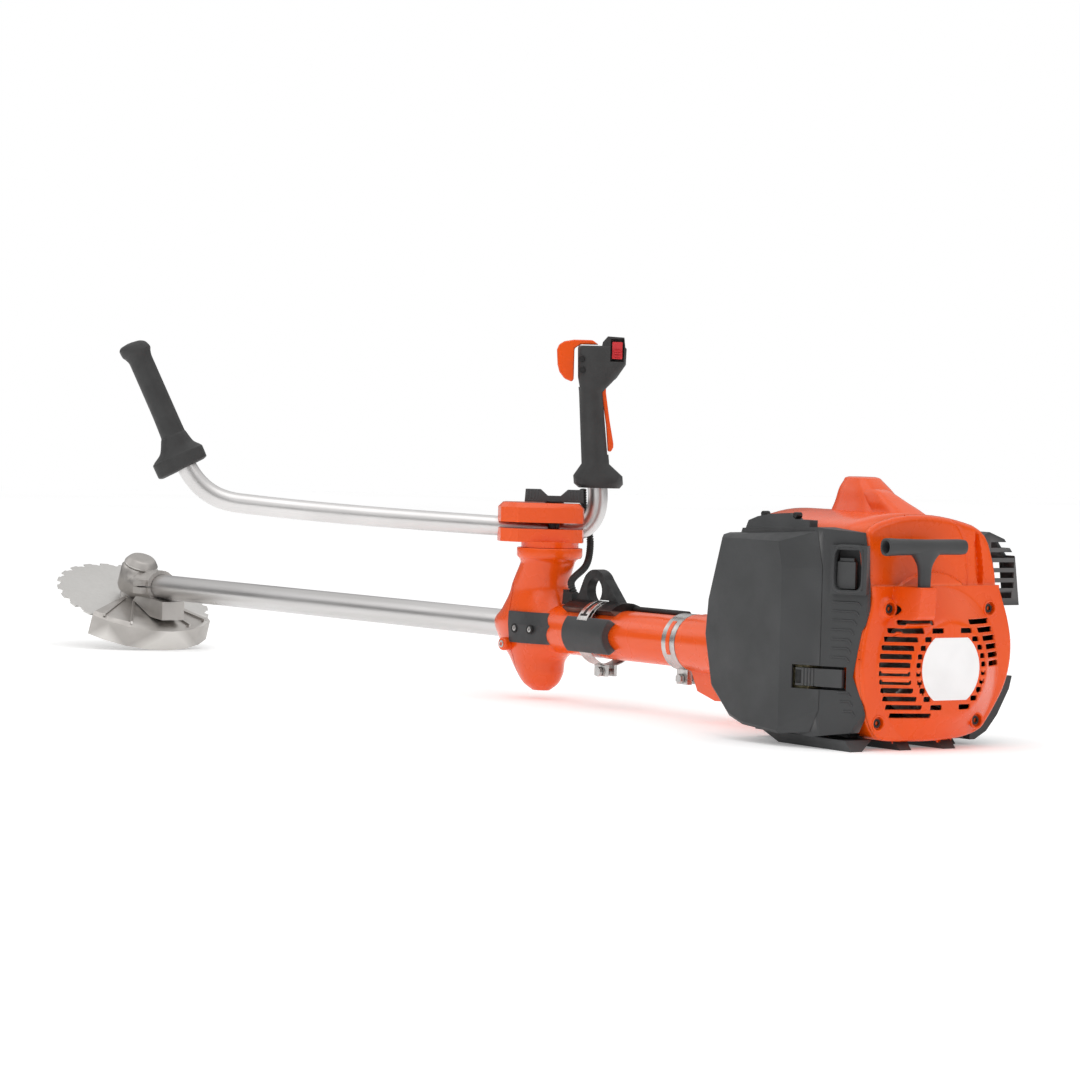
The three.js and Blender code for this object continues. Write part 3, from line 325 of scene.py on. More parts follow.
# Black rubber: deep, nearly matt, with a soft bloom
black_rubber = surface_material(
    "moulded_black_rubber",
    lambda m: between(m, noise(m, 20, 4), linear("#161616"), linear("#242424")),
    lambda m: between(m, noise(m, 8, 3), (0.55,), (0.72,)), 0.0,
    lambda m: (noise(m, 1.2, 3), 0.00008))
# Sand-cast and tumbled aluminium: warm grey with pitted grain, lighter at sharp edges, partly tumbled wear
# and partly a painted edge highlight
cast_aluminium = surface_material(
    "tumbled_cast_aluminium",
    lambda m: edge_wear_and_highlight(m, between(m, noise(m, 18, 6), linear("#A9A5A1"), linear("#B9B5B1")), linear("#DAD7D3")),
    lambda m: between(m, noise(m, 6, 5), (0.34,), (0.48,)), 0.9,
    lambda m: (noise(m, 1.5, 5), 0.00010))
# Ground steel: bright grey, with fine marks drawn out along Y and Z
bright_steel = surface_material(
    "ground_steel",
    lambda m: between(m, noise(m, 7, 4), linear("#B4B2B0"), linear("#CFCDCB")),
    lambda m: between(m, noise(m, 3, 4, (1, 6, 6)), (0.22,), (0.36,)), 1.0,
    lambda m: (noise(m, 1.0, 2, (1, 12, 12)), 0.00003))
# Blackened steel: nearly black, lighter grey at its edges, partly rubbed wear and partly a painted edge
# highlight
dark_steel = surface_material(
    "blackened_steel",
    lambda m: edge_wear_and_highlight(m, between(m, noise(m, 6, 4), linear("#2A2A2B"), linear("#3C3C3C")), linear("#77756F")),
    lambda m: between(m, noise(m, 4, 4), (0.35,), (0.5,)), 0.8,
    lambda m: (noise(m, 1.0, 3), 0.00005))
# Oiled foam: straw-coloured and matt, with an open grain of about a millimetre
filter_foam = surface_material(
    "oiled_filter_foam",
    lambda m: between(m, noise(m, 2, 4), linear("#B9AE86"), linear("#D2C8A2")), 0.95, 0.0,
    lambda m: (noise(m, 1.2, 3), 0.0006))
# Moulded red plastic: nearly even in colour, with a satin sheen
red_plastic = surface_material(
    "moulded_red_plastic",
    lambda m: between(m, noise(m, 10, 3), linear("#BE1C24"), linear("#D02A30")), 0.4, 0.0,
    lambda m: (noise(m, 0.9, 2), 0.00004))

# ---- Support tube and its rubber rings ----
# Powder-coated aluminium tube that carries the engine, the harness ring and the handle column. The shaft tube
# floats inside it on two rubber rings.

# Powder coat over aluminium: strong orange with fine orange peel and a soft gloss
orange_coat = surface_material(
    "powder_coated_orange",
    lambda m: between(m, noise(m, 80), linear("#E84E00"), linear("#F05604")),
    lambda m: between(m, noise(m, 20, 4), (0.22,), (0.32,)), 0.0,
    lambda m: (noise(m, 1.4, 2), 0.00003), Coat_Weight=0.3, Coat_Roughness=0.06, Specular_IOR_Level=0.4)
put(sheet_mesh("support_tube_skin",
               [turned(rounded([[27.5, 263], [30.5, 263], [30.5, 600], [27.5, 600], [27.5, 263]], 0.6),
                       (0, 0, 90), steps=96)], orange_coat), "chassis", "orange_tube", "support_tube")
for name, start, node in (("rear_tube_ring", 268, "tube_bush_rear"),
                          ("front_tube_ring", 556, "tube_bush_front")):
    stop = start + 40
    section = rounded([[17.8, start], [27.1, start], [27.1, stop], [17.8, stop], [17.8, start]], 1.2)
    put(sheet_mesh(name, [turned(section, (0, 0, 90))], black_rubber), "chassis", "black_rubber", node)

# ---- Handlebar ----
# Bent aluminium tube of 25 mm, clamped off centre on the column. It rises to the left grip in a long sweep
# and turns up sharply into the throttle grip. Shot-blasted satin finish.
BAR_TURN = np.radians(54)


def bar_space(points):
    """Points given along the bar, towards the rear and up, in millimetres, turned 54 degrees about the
    column."""
    w, e, z = np.moveaxis(np.asarray(points, float), -1, 0)
    c, s = np.cos(BAR_TURN), np.sin(BAR_TURN)
    return np.stack([617 + c * w - s * e, s * w + c * e, z], -1)


def bezier(a, b, c, d, steps):
    """Cubic curve: (1-t)^3 a + 3t(1-t)^2 b + 3t^2(1-t) c + t^3 d."""
    t = np.linspace(0, 1, steps)[:, None]
    a, b, c, d = (np.array(q, float) for q in (a, b, c, d))
    return (1 - t) ** 3 * a + 3 * t * (1 - t) ** 2 * b + 3 * t ** 2 * (1 - t) * c + t ** 3 * d


def even(path, spacing):
    """The path resampled at even distances along its length."""
    length = np.r_[0, np.cumsum(np.linalg.norm(np.diff(path, axis=0), axis=1))]
    marks = np.linspace(0, length[-1], max(3, int(length[-1] / spacing) + 1))
    return np.stack([np.interp(marks, length, path[:, k]) for k in range(3)], -1)


def piped(path, radius, steps=32):
    """Tube along a path in millimetres: point = path + r(s) (cos t * side + sin t * up), where side and up
    are square to the path, and r may change along it."""
    along = np.gradient(path, axis=0)
    along /= np.linalg.norm(along, axis=1)[:, None]
    hint = np.array([0.809, -0.588, 0.02]) if abs(along[:, 2]).max() > 0.5 else np.array([0, 0, 1.0])
    side = np.cross(hint, along)
    side /= np.linalg.norm(side, axis=1)[:, None]
    other = np.cross(along, side)
    t = np.linspace(0, 2 * np.pi, steps, endpoint=False)
    r = np.broadcast_to(np.asarray(radius, float), len(path))[:, None, None]
    points = path[:, None] + r * (np.cos(t)[:, None] * side[:, None] + np.sin(t)[:, None] * other[:, None])
    return points / 1000, False, True, True


def bar_height(w):
    return 212.2 + 0.045 * w


bar_line = np.concatenate([
    [(-56, -20, 304), (-58.6, -20, 258)],
    bezier((-58.6, -20, 258), (-60.2, -20, 232), (-50, -20, bar_height(-24) - 1),
           (-24, -20, bar_height(-24)), 14)[1:],
    [(140, -20, bar_height(140))],
    bezier((140, -20, bar_height(140)), (240, -20, bar_height(240)), (320, -20, 228),
           (392, -20, 235), 30)[1:],
    bezier((392, -20, 235), (424, -20, 238.4), (446, -20, 254), (462, -20, 286), 14)[1:],
    [(522, -20, 414)]])
bar_line = even(bar_space(bar_line), 4)
# Satin aluminium, blasted and anodised: even pale grey, no grain to speak of, slightly cloudy gloss
satin_aluminium = surface_material(
    "blasted_satin_aluminium",
    lambda m: between(m, noise(m, 40, 3), linear("#CFCDCC"), linear("#DBD9D8")),
    lambda m: between(m, noise(m, 25, 3), (0.30,), (0.38,)), 1.0,
    lambda m: (noise(m, 0.9, 2), 0.00003))
put(sheet_mesh("handlebar_skin", [piped(bar_line, 12.5, 40)], satin_aluminium, 60), "bars",
    "drawn_aluminium", "handlebar")

# ---- Left grip ----
# Soft dark grey rubber sleeve over the bar's end, moulded with a flared stop at the top and a broad hand
# guard at the bottom.


def lofted(levels, steps=64, smooth=True, rows=8):
    """Stack of superellipse rings [z, x, y, a, b, p]: x + a sgn(cos t)|cos t|^(2/p), y + b sgn(sin t)|sin
    t|^(2/p), with the values between levels found by a monotone cubic curve in z order."""
    levels = np.array(levels, float)
    k = np.arange(len(levels))
    fine = np.linspace(0, len(levels) - 1, (len(levels) - 1) * rows + 1) if smooth else k
    i = np.minimum(fine.astype(int), len(levels) - 2)
    u = (fine - i)[:, None]
    step = np.diff(levels, axis=0)
    slope = np.zeros_like(levels)
    same = step[:-1] * step[1:] > 0
    slope[1:-1] = np.where(same, 2 * step[:-1] * step[1:] / np.where(same, step[:-1] + step[1:], 1), 0)
    slope[0], slope[-1] = step[0], step[-1]
    p0, p1, m0, m1 = levels[i], levels[i + 1], slope[i], slope[i + 1]
    level = (2 * u ** 3 - 3 * u ** 2 + 1) * p0 + (u ** 3 - 2 * u ** 2 + u) * m0 \
        + (3 * u ** 2 - 2 * u ** 3) * p1 + (u ** 3 - u ** 2) * m1
    z, x, y, a, b, p = (level[:, j:j + 1] for j in range(6))
    t = np.linspace(0, 2 * np.pi, steps, endpoint=False)[None]
    across = x + a * np.sign(np.cos(t)) * np.abs(np.cos(t)) ** (2 / p)
    along = y + b * np.sign(np.sin(t)) * np.abs(np.sin(t)) ** (2 / p)
    return np.stack([across, along, np.broadcast_to(z, across.shape)], -1)


def leaned(points, w, z, degrees):
    """Points about the bar's end turned in the bar's plane and set at w, z."""
    a = np.radians(degrees)
    x, y, h = np.moveaxis(points, -1, 0)
    return bar_space(np.stack([w + x * np.cos(a) + h * np.sin(a), y - 20, z - x * np.sin(a) + h * np.cos(a)],
                              -1)) / 1000


# Thermoplastic rubber over the grips: dark grey, matt, with a fine leathery grain of about a millimetre,
# lighter at sharp edges, partly rubbed wear and partly a painted edge highlight
grip_rubber = surface_material(
    "grained_grip_rubber",
    lambda m: edge_wear_and_highlight(m, between(m, noise(m, 12, 4), linear("#2A2A2A"), linear("#343434")), linear("#5A5A5A")),
    lambda m: between(m, noise(m, 5, 4), (0.50,), (0.62,)), 0.0,
    lambda m: (noise(m, 1.3, 4), 0.00016))
sleeve = lofted([[-24, 5, 0, 29, 17, 3], [-21.5, 5, 0, 33, 21, 3.4], [-7, 5, 0, 33.4, 21.8, 3.4],
                 [-3.5, 4.4, 0, 31, 20, 3], [4, 2, 0, 22.5, 17.8, 2.6], [18, 0, 0, 17, 16.4, 2.2],
                 [21, -0.4, 0, 15.8, 15.6, 2], [60, -1, 0, 15, 14.9, 2], [120, -1, 0, 14.9, 14.9, 2],
                 [128, -0.6, 0, 16.4, 15.8, 2], [134, 0, 0, 18.9, 17.4, 2], [141, 1.6, 0, 17.8, 16, 2],
                 [145.5, 3.2, 0, 12.5, 11.5, 2], [147, 4, 0, 4, 4, 2]])
guard_slope = np.clip(sleeve[..., 2:] + 24, 0, 20) / 20
sleeve[..., 2] += (1 - guard_slope[..., 0]) * 0.12 * np.clip(sleeve[..., 0] - 4, -29, 29) * -0.4
put(sheet_mesh("left_grip_skin", [(leaned(sleeve, 468, 300, 25.1), False, True, True)], grip_rubber, 50),
    "bars", "grey_plastic", "left_grip")

# ---- Throttle grip, its lockout, trigger and stop switch ----
# Two rubber-grained halves are screwed together round the bar's right end. An orange lockout stands out at
# the palm, the orange trigger at the fingers and a ribbed red switch at the thumb.
for half in ("throttle_grip_rear", "throttle_grip_front"):
    worked(half, grip_rubber, "grey_plastic", 0.8, 50)
worked("throttle_trigger", orange_abs, "orange_plastic", 1.6, 30)
worked("throttle_lockout", orange_abs, "orange_plastic", 2.0, 30)
worked("stop_switch", red_plastic, "red_plastic", 1.0, 30)


def ribbed(count, first, step, size, turn, squash=0.35):
    """Row of raised pads in millimetres. Each is a superellipsoid of half sizes a, b, c: x = a C(u) C(v),
    y = b C(u) S(v), z = c S(u), where C and S are the cosine and sine to the power squash with their sign
    kept. It is turned about Z and set at first + k * step."""
    u = np.linspace(-np.pi / 2, np.pi / 2, 9)[:, None]
    v = np.linspace(0, 2 * np.pi, 20, endpoint=False)[None]
    bend = lambda s: np.sign(s) * np.abs(s) ** squash
    x, y, z = bend(np.cos(u)) * bend(np.cos(v)), bend(np.cos(u)) * bend(np.sin(v)), bend(np.sin(u)) + 0 * v
    pad = np.stack([x * size[0], y * size[1], z * size[2]], -1)
    c, s = np.cos(turn), np.sin(turn)
    pad = np.stack([c * pad[..., 0] - s * pad[..., 1], s * pad[..., 0] + c * pad[..., 1], pad[..., 2]], -1)
    return [((pad + np.array(first) + k * np.array(step)) / 1000, False, True, False) for k in range(count)]


# Dull black in screw wells, hollows and behind slots: painted shade, dark enough to read as a hole
hole_shade_black = surface_material(
    "painted_hole_shade_black", lambda m: between(m, noise(m, 6), linear("#0A0A0A"), linear("#141414")), 0.6, 0.0,
    lambda m: (noise(m, 1.0), 0.00004))
rear_out = np.array([-np.sin(BAR_TURN), np.cos(BAR_TURN), 0])
# Dark cups sunk at the grip's two screws: painted shade in the screw wells
wells = []
for w, z in ((-33.5, 427), (-34.5, 413)):
    place = bar_space([(w, -20 + 16.2, z)])[0]
    wells.append(turned([[0, 0.9], [3.6, 0.9], [4.0, 0.4], [4.0, -1.5], [0, -1.5]], place, rear_out, 32))
put(sheet_mesh("grip_screw_wells", wells, hole_shade_black), "bars", "grey_plastic")
switch_pads = ribbed(3, bar_space([(-78, -3.1, 431.5)])[0], (0, 0, 3.2), (4.2, 0.5, 0.7), BAR_TURN)
put(sheet_mesh("switch_ribs", switch_pads, red_plastic), "stop_button", "red_plastic")

# ---- Clamp and wing knob ----
# Two painted aluminium jaws hold the bar; a bolt with a grey nylon wing knob pulls them together over a dark
# washer. The lower jaw turns on the column.
worked("clamp_lower", orange_coat, "orange_plastic", 4.0, 35)
worked("clamp_upper", orange_coat, "orange_plastic", 4.0, 35)
worked("wing_knob", grey_nylon, "grey_plastic", 0.7, 35)
knob_foot = bar_space([(-4, 0, 0)])[0]
put(sheet_mesh("knob_washer",
               [turned(rounded([[4.8, 246.2], [11.6, 246.2], [12.4, 246.8], [12.4, 248.6],
                                [4.8, 248.8], [4.8, 246.2]], 0.4),
                       knob_foot, (0, 0, 1), 48)], dark_steel), "knob", "grey_plastic")
put(sheet_mesh("clamp_bolt_collar",
               [turned(rounded([[4.7, 213.8], [7.2, 213.8], [7.2, 220.7], [4.7, 220.7], [4.7, 213.8]], 0.5),
                       knob_foot, (0, 0, 1), 32)], dark_steel), "knob", "dark_steel")

# ---- Handle column ----
# Orange shell in two halves round the support tube, joined at an upright seam and screwed at the side, with a
# turned collar on top that the clamp swivels on.


def parted(name, grids, material, place, normal, smooth_below=40):
    """A closed surface cut by a plane, keeping the side the normal points away from, and closed on the
    cut."""
    made = sheet_mesh(name, grids, material, 180)
    tidy = bmesh.new()
    tidy.from_mesh(made.data)
    cut = bmesh.ops.bisect_plane(tidy, geom=tidy.verts[:] + tidy.edges[:] + tidy.faces[:], dist=1e-7,
                                 plane_co=place, plane_no=normal, clear_outer=True)
    rim = [g for g in cut["geom_cut"] if isinstance(g, bmesh.types.BMEdge)]
    bmesh.ops.contextual_create(tidy, geom=rim)
    bmesh.ops.recalc_face_normals(tidy, faces=tidy.faces)
    tidy.to_mesh(made.data)
    tidy.free()
    made.data.shade_smooth()
    made.data.set_sharp_from_angle(angle=np.radians(smooth_below))
    return made


column = lofted([[11, 628, 0, 13, 10, 2], [20, 629, 0, 26, 20, 2], [33, 631, 0, 35, 26, 2],
                 [50, 636, 0, 43, 30, 2], [70, 634, 0, 68, 36, 2], [94, 632, 0, 80, 38, 2.3],
                 [112, 636, 0, 60, 37, 2], [138, 635, 0, 41, 34, 2], [170, 621, 0, 34, 34, 2],
                 [178, 618, 0, 38, 38, 2]], 96) / 1000
collar = turned(rounded([[0, 176], [39.2, 177], [41, 180], [41, 190], [0, 190]], 1.2), (617, 0, 0),
                (0, 0, 1), 96)
rear_shell = parted("column_rear_shell", [(column, False, True, True)], orange_coat, (0.648, 0, 0), (1, 0, 0))
put(rear_shell, "chassis", "orange_plastic", "handle_column")
put(sheet_mesh("column_collar", [collar], orange_coat), "chassis", "orange_plastic")
front_shell = parted("column_front_shell", [(column, False, True, True)], orange_coat, (0.6494, 0, 0),
                     (-1, 0, 0))
put(front_shell, "chassis", "orange_plastic", "column_shell")
boss = turned(rounded([[0, 45.5], [7.2, 45.5], [8.4, 43], [8.4, 24], [0, 24]], 1.2), (652, 0, 68), (0, 1, 0),
              40)
put(sheet_mesh("column_screw_boss", [boss], orange_coat), "chassis", "orange_plastic")


def socket_screw(place, direction, radius):
    """Cap screw: a turned head with a chamfer and a round well sunk in its face."""
    return turned([[0, 0.2 - radius * 0.7], [radius * 0.52, 0.2 - radius * 0.7], [radius * 0.52, -0.1],
                   [radius * 0.62, 0.25], [radius * 0.86, 0.25], [radius, -0.15], [radius, -radius],
                   [0, -radius]], place, direction, 36)


screws = [socket_screw((652, 46.3, 68), (0, 1, 0), 4.6)]
worked("column_pad", grey_nylon, "grey_plastic", 1.2, 35)
for x in (599.5, 631.5):
    screws.append(socket_screw((x, 41.6, 89), (0, 1, 0), 3.6))
put(sheet_mesh("column_screws", screws, bright_steel), "chassis", "steel")
# Dark rings round the pad screws: painted shade in their wells
rings = [turned([[3.5, 0.5], [5.6, 0.7], [5.9, 0.3], [5.9, -1.5], [3.5, -1.5], [3.5, 0.5]], (x, 41.3, 89),
                (0, 1, 0), 36) for x in (599.5, 631.5)]
put(sheet_mesh("pad_screw_wells", rings, hole_shade_black), "chassis", "grey_plastic")

# ---- Throttle cable ----
# Black ribbed conduit from under the throttle grip to a rubber grommet on the support tube. It hangs in a
# bow beside the column.


def catmull(points, steps=24):
    """Curve through points: each span is 0.5 (2b + (c-a)t + (2a-5b+4c-d)t^2 + (3b-a-3c+d)t^3)."""
    p = np.array(points, float)
    p = np.vstack([2 * p[0] - p[1], p, 2 * p[-1] - p[-2]])
    t = np.linspace(0, 1, steps, endpoint=False)[None, :, None]
    a, b, c, d = (p[i:len(p) - 3 + i][:, None] for i in range(4))
    square, cube = 2 * a - 5 * b + 4 * c - d, 3 * b - a - 3 * c + d
    spans = 0.5 * (2 * b + (c - a) * t + square * t ** 2 + cube * t ** 3)
    return np.vstack([spans.reshape(-1, 3), p[-2]])


cable_path = even(catmull(np.vstack([
    bar_space([(-40, -38, 263), (-42, -45, 240), (-49, -47, 212), (-51, -38, 190), (-46, -14, 168)]),
    [(576, -5, 150), (564, -3, 132)]])), 0.5)
CABLE_RADIUS, RIB_RISE, RIB_PITCH = 4.1, 0.5, 3.4
ribs = CABLE_RADIUS + RIB_RISE * np.tanh(3 * np.sin(2 * np.pi * np.arange(len(cable_path)) * 0.5 / RIB_PITCH))
middle = int(len(cable_path) * 0.42)
upper = sheet_mesh("throttle_cable_upper", [piped(cable_path[:middle + 1], ribs[:middle + 1], 16)],
                   black_rubber, 60)
lower = sheet_mesh("throttle_cable_lower", [piped(cable_path[middle:], ribs[middle:], 16)], black_rubber, 60)
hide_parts("throttle_cable")
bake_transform(upper)
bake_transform(lower)
worked("cable_grommet", black_rubber, "black_rubber", 1.2)

# ---- Starter cover ----
# Injection-moulded orange ABS, bolted to the crankcase with four socket screws in wells. A shallow dome
# with level air slots covers the fan, a faceted horn guides the starter rope, and a blank white label sits
# on the dome.


def outline_distance(points, y, z):
    """Signed distance to a closed outline: the least distance to its edges, positive inside by crossing
    count."""
    a = np.array(points, float)
    b = np.roll(a, -1, 0)
    least, crossings = np.full(y.shape, 1e9), np.zeros(y.shape, int)
    for (ay, az), (by, bz) in zip(a, b):
        ey, ez = by - ay, bz - az
        t = np.clip(((y - ay) * ey + (z - az) * ez) / (ey * ey + ez * ez), 0, 1)
        least = np.minimum(least, np.hypot(y - ay - t * ey, z - az - t * ez))
        crossings += ((az > z) != (bz > z)) & (y < (by - ay) * (z - az) / (bz - az + 1e-12) + ay)
    return np.where(crossings % 2 == 1, least, -least)


def softened(points, passes=3):
    """Closed outline with its corners cut at a quarter of each side, repeated, so that they turn round."""
    p = np.array(points, float)
    for _ in range(passes):
        q = np.roll(p, -1, 0)
        p = np.stack([0.75 * p + 0.25 * q, 0.25 * p + 0.75 * q], 1).reshape(-1, 2)
    return p


def slot_distance(y, z, slots, corner=1.6):
    """Distance outside the nearest round-cornered box [y centre, z centre, half width, half height]."""
    least = np.full(y.shape, 1e9)
    for cy, cz, hy, hz in slots:
        qy, qz = np.abs(y - cy) - hy + corner, np.abs(z - cz) - hz + corner
        least = np.minimum(least, np.hypot(np.maximum(qy, 0), np.maximum(qz, 0))
                           + np.minimum(np.maximum(qy, qz), 0) - corner)
    return least


def face_skin(name, inside, rearness, span, step, thickness, material):
    """Rear-facing wall: the point (y, z) of a level grid stands at x = -rearness(y, z). Points nearer the
    contour than 0.6 steps slide onto it along the distance's slope, and cells with a corner outside are
    left out."""
    y, z = np.meshgrid(np.arange(span[0], span[1] + step, step), np.arange(span[2], span[3] + step, step),
                       indexing="ij")
    for _ in range(2):
        d = inside(y, z)
        gy, gz = inside(y + 0.05, z) - d, inside(y, z + 0.05) - d
        near = (np.abs(d) < 0.6 * step) & (np.hypot(gy, gz) > 1e-4)
        scale = np.where(near, d / np.maximum(np.hypot(gy, gz), 1e-4), 0)
        y, z = y - gy * scale, z - gz * scale
    kept = inside(y, z) > -0.12 * step
    index = np.arange(y.size).reshape(y.shape)
    whole = kept[:-1, :-1] & kept[1:, :-1] & kept[1:, 1:] & kept[:-1, 1:]
    quads = np.stack([index[:-1, :-1], index[1:, :-1], index[1:, 1:], index[:-1, 1:]], -1)[whole]
    used, compact = np.unique(quads, return_inverse=True)
    points = np.stack([-rearness(y, z), y, z], -1).reshape(-1, 3)[used] / 1000
    mesh = bpy.data.meshes.new(name)
    mesh.from_pydata(points.tolist(), [], compact.reshape(-1, 4)[:, ::-1].tolist())
    mesh.shade_smooth()
    mesh.set_sharp_from_angle(angle=np.radians(32))
    mesh.materials.append(material)
    made = bpy.data.objects.new(name, mesh)
    bpy.context.collection.objects.link(made)
    wall = made.modifiers.new("wall", "SOLIDIFY")
    wall.thickness = thickness / 1000
    wall.offset = -1
    return made


def rim_wall(outline, rearness, front, edge):
    """Side wall of a cover: its outline swept from the rounded rear edge, x = -(rearness - edge), to the
    front."""
    p = np.array(outline)
    rear = -(rearness(p[:, 0], p[:, 1]) - edge)
    levels = np.linspace(0, 1, 6)[:, None]
    x = rear[None] * (1 - levels) + front * levels
    return np.stack([x, x * 0 + p[None, :, 0], x * 0 + p[None, :, 1]], -1) / 1000, False, True, False


def edge_round(distance, radius):
    """How far a rounded edge has fallen at a distance in from the outline: r - sqrt(r^2 - (r - d)^2)."""
    inner = np.clip(radius - np.maximum(distance, 0), 0, radius)
    return radius - np.sqrt(radius ** 2 - inner ** 2)


starter_outline = softened([[101, 215], [101, 181.9], [97, 166], [108, 132], [112.5, 82], [105, 46],
                            [90, 15], [70, 10], [0, 9.5], [-62, 15], [-80, 36], [-104, 72], [-111, 110],
                            [-104, 144], [-90, 176], [-89, 181.9], [-89, 215]])
starter_outline = starter_outline[(starter_outline[:, 1] < 181.6)]
first_point = int(np.argmax(starter_outline[:, 1] * (starter_outline[:, 0] > 0)))
starter_outline = np.vstack([[[99.5, 181.9]], np.roll(starter_outline, -first_point, 0), [[-89, 181.9]]])
starter_edge = np.column_stack([starter_outline[:, 0],
                                np.where(starter_outline[:, 1] > 181.8, 215, starter_outline[:, 1])])
SCREWS = [(76, 157), (-74, 156), (85, 31), (-50, 32)]
rows = 91 + 51.7 - 9.4 * np.arange(12)
reach = lambda radius, dz: np.sqrt(np.maximum(radius ** 2 - dz ** 2, 36))
slots_cut = []
for k, z in enumerate(rows):
    dz = abs(z - 91)
    spans = [(reach(58, dz), reach(88, dz))] + ([(-reach(88, dz), -reach(58, dz))] if k < 6 else [])
    if dz <= 50:
        spans += [(reach(44, dz), reach(51.5, dz)), (-reach(51.5, dz), -reach(44, dz))]
    slots_cut += [((a + b) / 2, z, (b - a) / 2, 2.9) for a, b in spans if b - a > 4]


def starter_inside(y, z):
    """Inside the outline and outside every slot and screw well."""
    d = np.minimum(outline_distance(starter_outline, y, z), slot_distance(y, z, slots_cut))
    for sy, sz in SCREWS:
        d = np.minimum(d, np.hypot(y - sy, z - sz) - 8.0)
    return d


def starter_rear(y, z, rounding=True):
    """Rearness: the greatest of the flange, the dome (flat, then a cone from r 53 to 91) and the rope horn,
    which is the least of its five facets, plus a boss round one screw; the edge round is taken off."""
    r = np.hypot(y - 1, z - 91)
    dome = 140 - np.interp(r, [0, 50, 53.5, 57, 90.5, 92.5, 400], [0, 0, 0.5, 2.2, 22.4, 24, 400])
    foot = 78 - (z - 120) / 6
    horn = np.minimum.reduce([
        152 + (z - 150) * 4 / 30, 119 + (foot - y) * 35 / np.maximum(foot - 61, 4), 119 + (y - 20) * 35 / 18,
        119 + (z - 122) * 33 / 28, 119 + (193 - z) * 37 / 11])
    base = np.maximum(np.maximum(118.0, dome), np.minimum(horn, 155.8))
    boss = 122.5 - np.maximum(np.hypot(y - 76, z - 157) - 10.5, 0) * 1.6
    base = np.maximum(base, boss)
    return base - (edge_round(outline_distance(starter_edge, y, z), 4.0) if rounding else 0)


starter_face = face_skin("starter_cover_face", starter_inside, starter_rear, (-113, 114, 8, 183), 0.95, 2.6,
                         orange_abs)
put(starter_face, "chassis", "orange_plastic", "starter_cover")
starter_rim = sheet_mesh("starter_cover_rim",
                         [rim_wall(starter_outline, lambda y, z: starter_rear(y, z, False), -88, 3.9)],
                         orange_abs)
starter_rim.modifiers.new("wall", "SOLIDIFY").thickness = 0.0026
put(starter_rim, "chassis", "orange_plastic")
cups, heads = [], []
for y, z in SCREWS:
    lift = float(starter_rear(np.array([float(y) + 9.0]), np.array([float(z)]))[0])
    lift = max(lift, 118.2)
    cups.append(turned(rounded([[9.4, -2.4], [9.2, 0.8], [7.6, 0.8], [6.9, -0.4], [6.9, -4.6], [0, -4.6]],
                               0.6), (-lift, y, z), (-1, 0, 0), 48))
    heads.append(socket_screw((-lift + 2.2, y, z), (-1, 0, 0), 4.9))
put(sheet_mesh("starter_screw_wells", cups, orange_abs), "chassis", "orange_plastic")
put(sheet_mesh("starter_screws", heads, dark_steel), "chassis", "dark_steel", "cover_screw_top_left",
    "cover_screw_top_right", "cover_screw_low_left", "cover_screw_low_right")

# Black sheet behind the slots, painted shade that makes them read as dark openings; it closes the fan's room
# outside the flywheel
slot_shade_sheet = face_skin(
    "painted_slot_shade",
    lambda y, z: np.minimum(outline_distance(starter_outline, y, z) - 1.5, np.hypot(y, z - 90) - 61),
    lambda y, z: 0 * y + 90, (-113, 114, 8, 183), 3.0, 1.2, hole_shade_black)
put(slot_shade_sheet, "chassis", "grey_plastic")


def flat_plate(outline, x_rear, thickness, inset=0.35):
    """Thin plate facing backwards: the outline at its foot and top, drawn in at its rim, then shrunk to a
    point."""
    p = np.array(outline, float)
    middle = p.mean(0)
    rows = []
    for scale, rise in ((1, 0), (1, 0.5), (1 - inset / 42, 1), (0.5, 1), (0.002, 1)):
        q = middle + (p - middle) * scale
        rows.append(np.column_stack([np.full(len(q), x_rear + thickness * (1 - rise)), q]))
    return np.array(rows) / 1000, False, True, False


# Blank printed label: white polyester film with a satin face
white_label = surface_material(
    "satin_white_label_film",
    lambda m: between(m, noise(m, 20), linear("#F2F2F2"), linear("#FAFAFA")), 0.35, 0.0,
    lambda m: (noise(m, 2.0, 2), 0.00002))
t = np.linspace(0, 2 * np.pi, 160, endpoint=False)
label = np.column_stack([1 + 42 * np.cos(t), np.clip(91 + 42 * np.sin(t), 56.4, 125.6)])
put(sheet_mesh("blank_label", [flat_plate(label, -140.55, 0.7)], white_label), "chassis", "grey_plastic")

# ---- Cylinder cover ----
# Orange ABS hood over the cylinder: a rounded body with a flat-topped hump over the spark plug. Its rear
# face carries a raised arc above the dome, a parting groove and a sunk recess at the right.
top_outline = softened([[100, 150], [100, 182.6], [103, 222], [106, 246], [60, 259], [20, 261], [-24, 256],
                        [-70, 244], [-85, 205], [-89, 182.6], [-89, 150]], 2)
top_outline = top_outline[top_outline[:, 1] > 182.7]
side_lengths = np.hypot(*np.diff(np.vstack([top_outline, top_outline[:1]]), axis=0).T)
top_outline = np.roll(top_outline, -int(np.argmax(side_lengths) + 1), 0)
top_outline = np.vstack([[[100 if top_outline[0, 0] > 0 else -89, 182.5]], top_outline,
                         [[-89 if top_outline[0, 0] > 0 else 100, 182.5]]])
top_edge = np.column_stack([top_outline[:, 0], np.where(top_outline[:, 1] < 182.6, 150, top_outline[:, 1])])
GROOVE = [(-18.4, 254.8), (-28.6, 245.5), (-37.9, 230.7), (-41.2, 210.3), (-42.3, 182.4)]
RECESS = softened([(-51, 243.7), (-56, 182.3), (-68.4, 182.2), (-60, 236)], 1)


